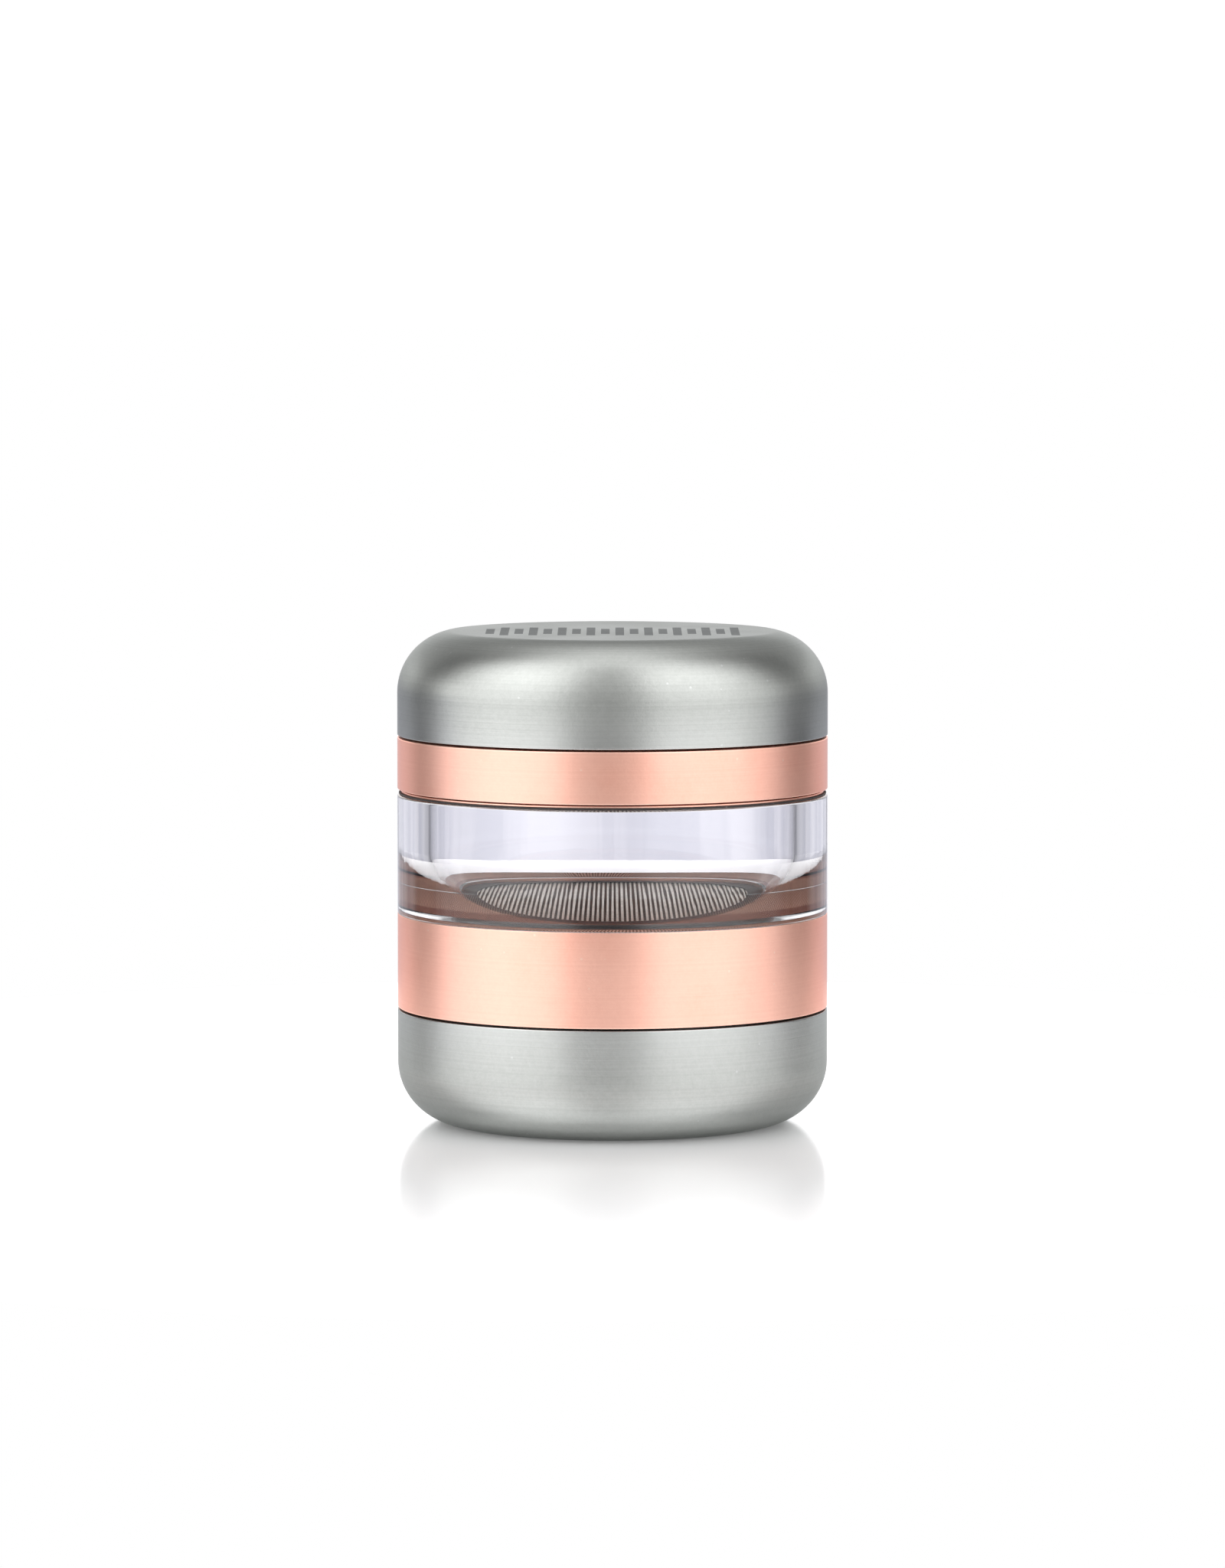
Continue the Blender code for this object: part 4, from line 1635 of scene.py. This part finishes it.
@dataclass(frozen=True)
class Table:
    """The white table: a mirror close to the grinder, plain white farther off.

    The grinder's own metal sees it as one even sheet of gloss, by the bounce share.
    """

    radius: float = 0.19
    near: float = 42.0 * MM
    far: float = 168.0 * MM
    mirror: float = 0.56
    bounce: float = 0.45
    glow: float = 0.2
    roughness: float = 0.13
    spread: float = 0.02
    sink: float = 0.05 * MM

    def build(self) -> None:
        """Models the round table top and gives it its finish."""
        deselect()
        bpy.ops.mesh.primitive_circle_add(
            vertices=96, radius=self.radius, fill_type="NGON", location=(0.0, 0.0, -self.sink)
        )
        table = bpy.context.active_object
        table.name = "table_top"
        made, bench, shader = new_material("white_table")
        away = bench.add("VectorMath", {0: bench.objects()}, operation="LENGTH").outputs["Value"]
        seen = bench.add("LightPath").outputs["Is Camera Ray"]
        share = bench.spread(away, self.near, self.far, self.mirror, 0.0)
        share = bench.times(share, seen)
        hidden = bench.math("SUBTRACT", self.bounce, bench.times(seen, self.bounce))
        share = bench.math("ADD", share, hidden)
        glow = bench.times(bench.inverse(share), self.glow)
        haze = bench.noise(bench.objects(), 25.0, 3.0)
        smooth, dull = self.roughness - self.spread, self.roughness + self.spread
        looks = {
            "Base Color": (0.95, 0.95, 0.96, 1.0),
            "Metallic": share,
            "Roughness": bench.spread(haze, 0.3, 0.7, smooth, dull),
            "Specular IOR Level": 0.0,
            "Emission Color": WHITE,
            "Emission Strength": glow,
        }
        bench.feed(shader, looks)
        table.data.materials.append(made)
        table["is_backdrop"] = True


@dataclass(frozen=True)
class Portrait:
    """The camera, in front of the grinder and a little above it."""

    distance: float = 1.0368
    height: float = 0.13336
    pitch: float = 4.625
    lens: float = 163.0
    sensor: float = 36.0
    nearest: float = 0.01

    def build(self) -> None:
        """Places the camera."""
        lens = bpy.data.cameras.new("portrait")
        lens.lens = self.lens
        lens.sensor_width = self.sensor
        lens.clip_start = self.nearest
        camera = bpy.data.objects.new("portrait", lens)
        camera.location = (0.0, -self.distance, self.height)
        camera.rotation_euler = (math.radians(90.0 - self.pitch), 0.0, 0.0)
        bpy.context.scene.collection.objects.link(camera)
        bpy.context.scene.camera = camera


def main() -> None:
    """Builds the grinder from the cup upwards, then the studio."""
    logging.basicConfig(level=logging.INFO, format="%(name)s: %(message)s")
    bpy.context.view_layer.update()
    stack = Stack.read()
    palette = Palette()
    Cup(stack).build(palette)
    Collar(stack).build(palette)
    Sieve().build(palette)
    GlassUnit(stack).build(palette)
    Plate(stack).build(palette)
    Lid(stack).build(palette)
    Table().build()
    Surround().build()
    Portrait().build()
    bpy.context.scene.view_settings.view_transform = "Standard"


if __name__ == "__main__":
    main()
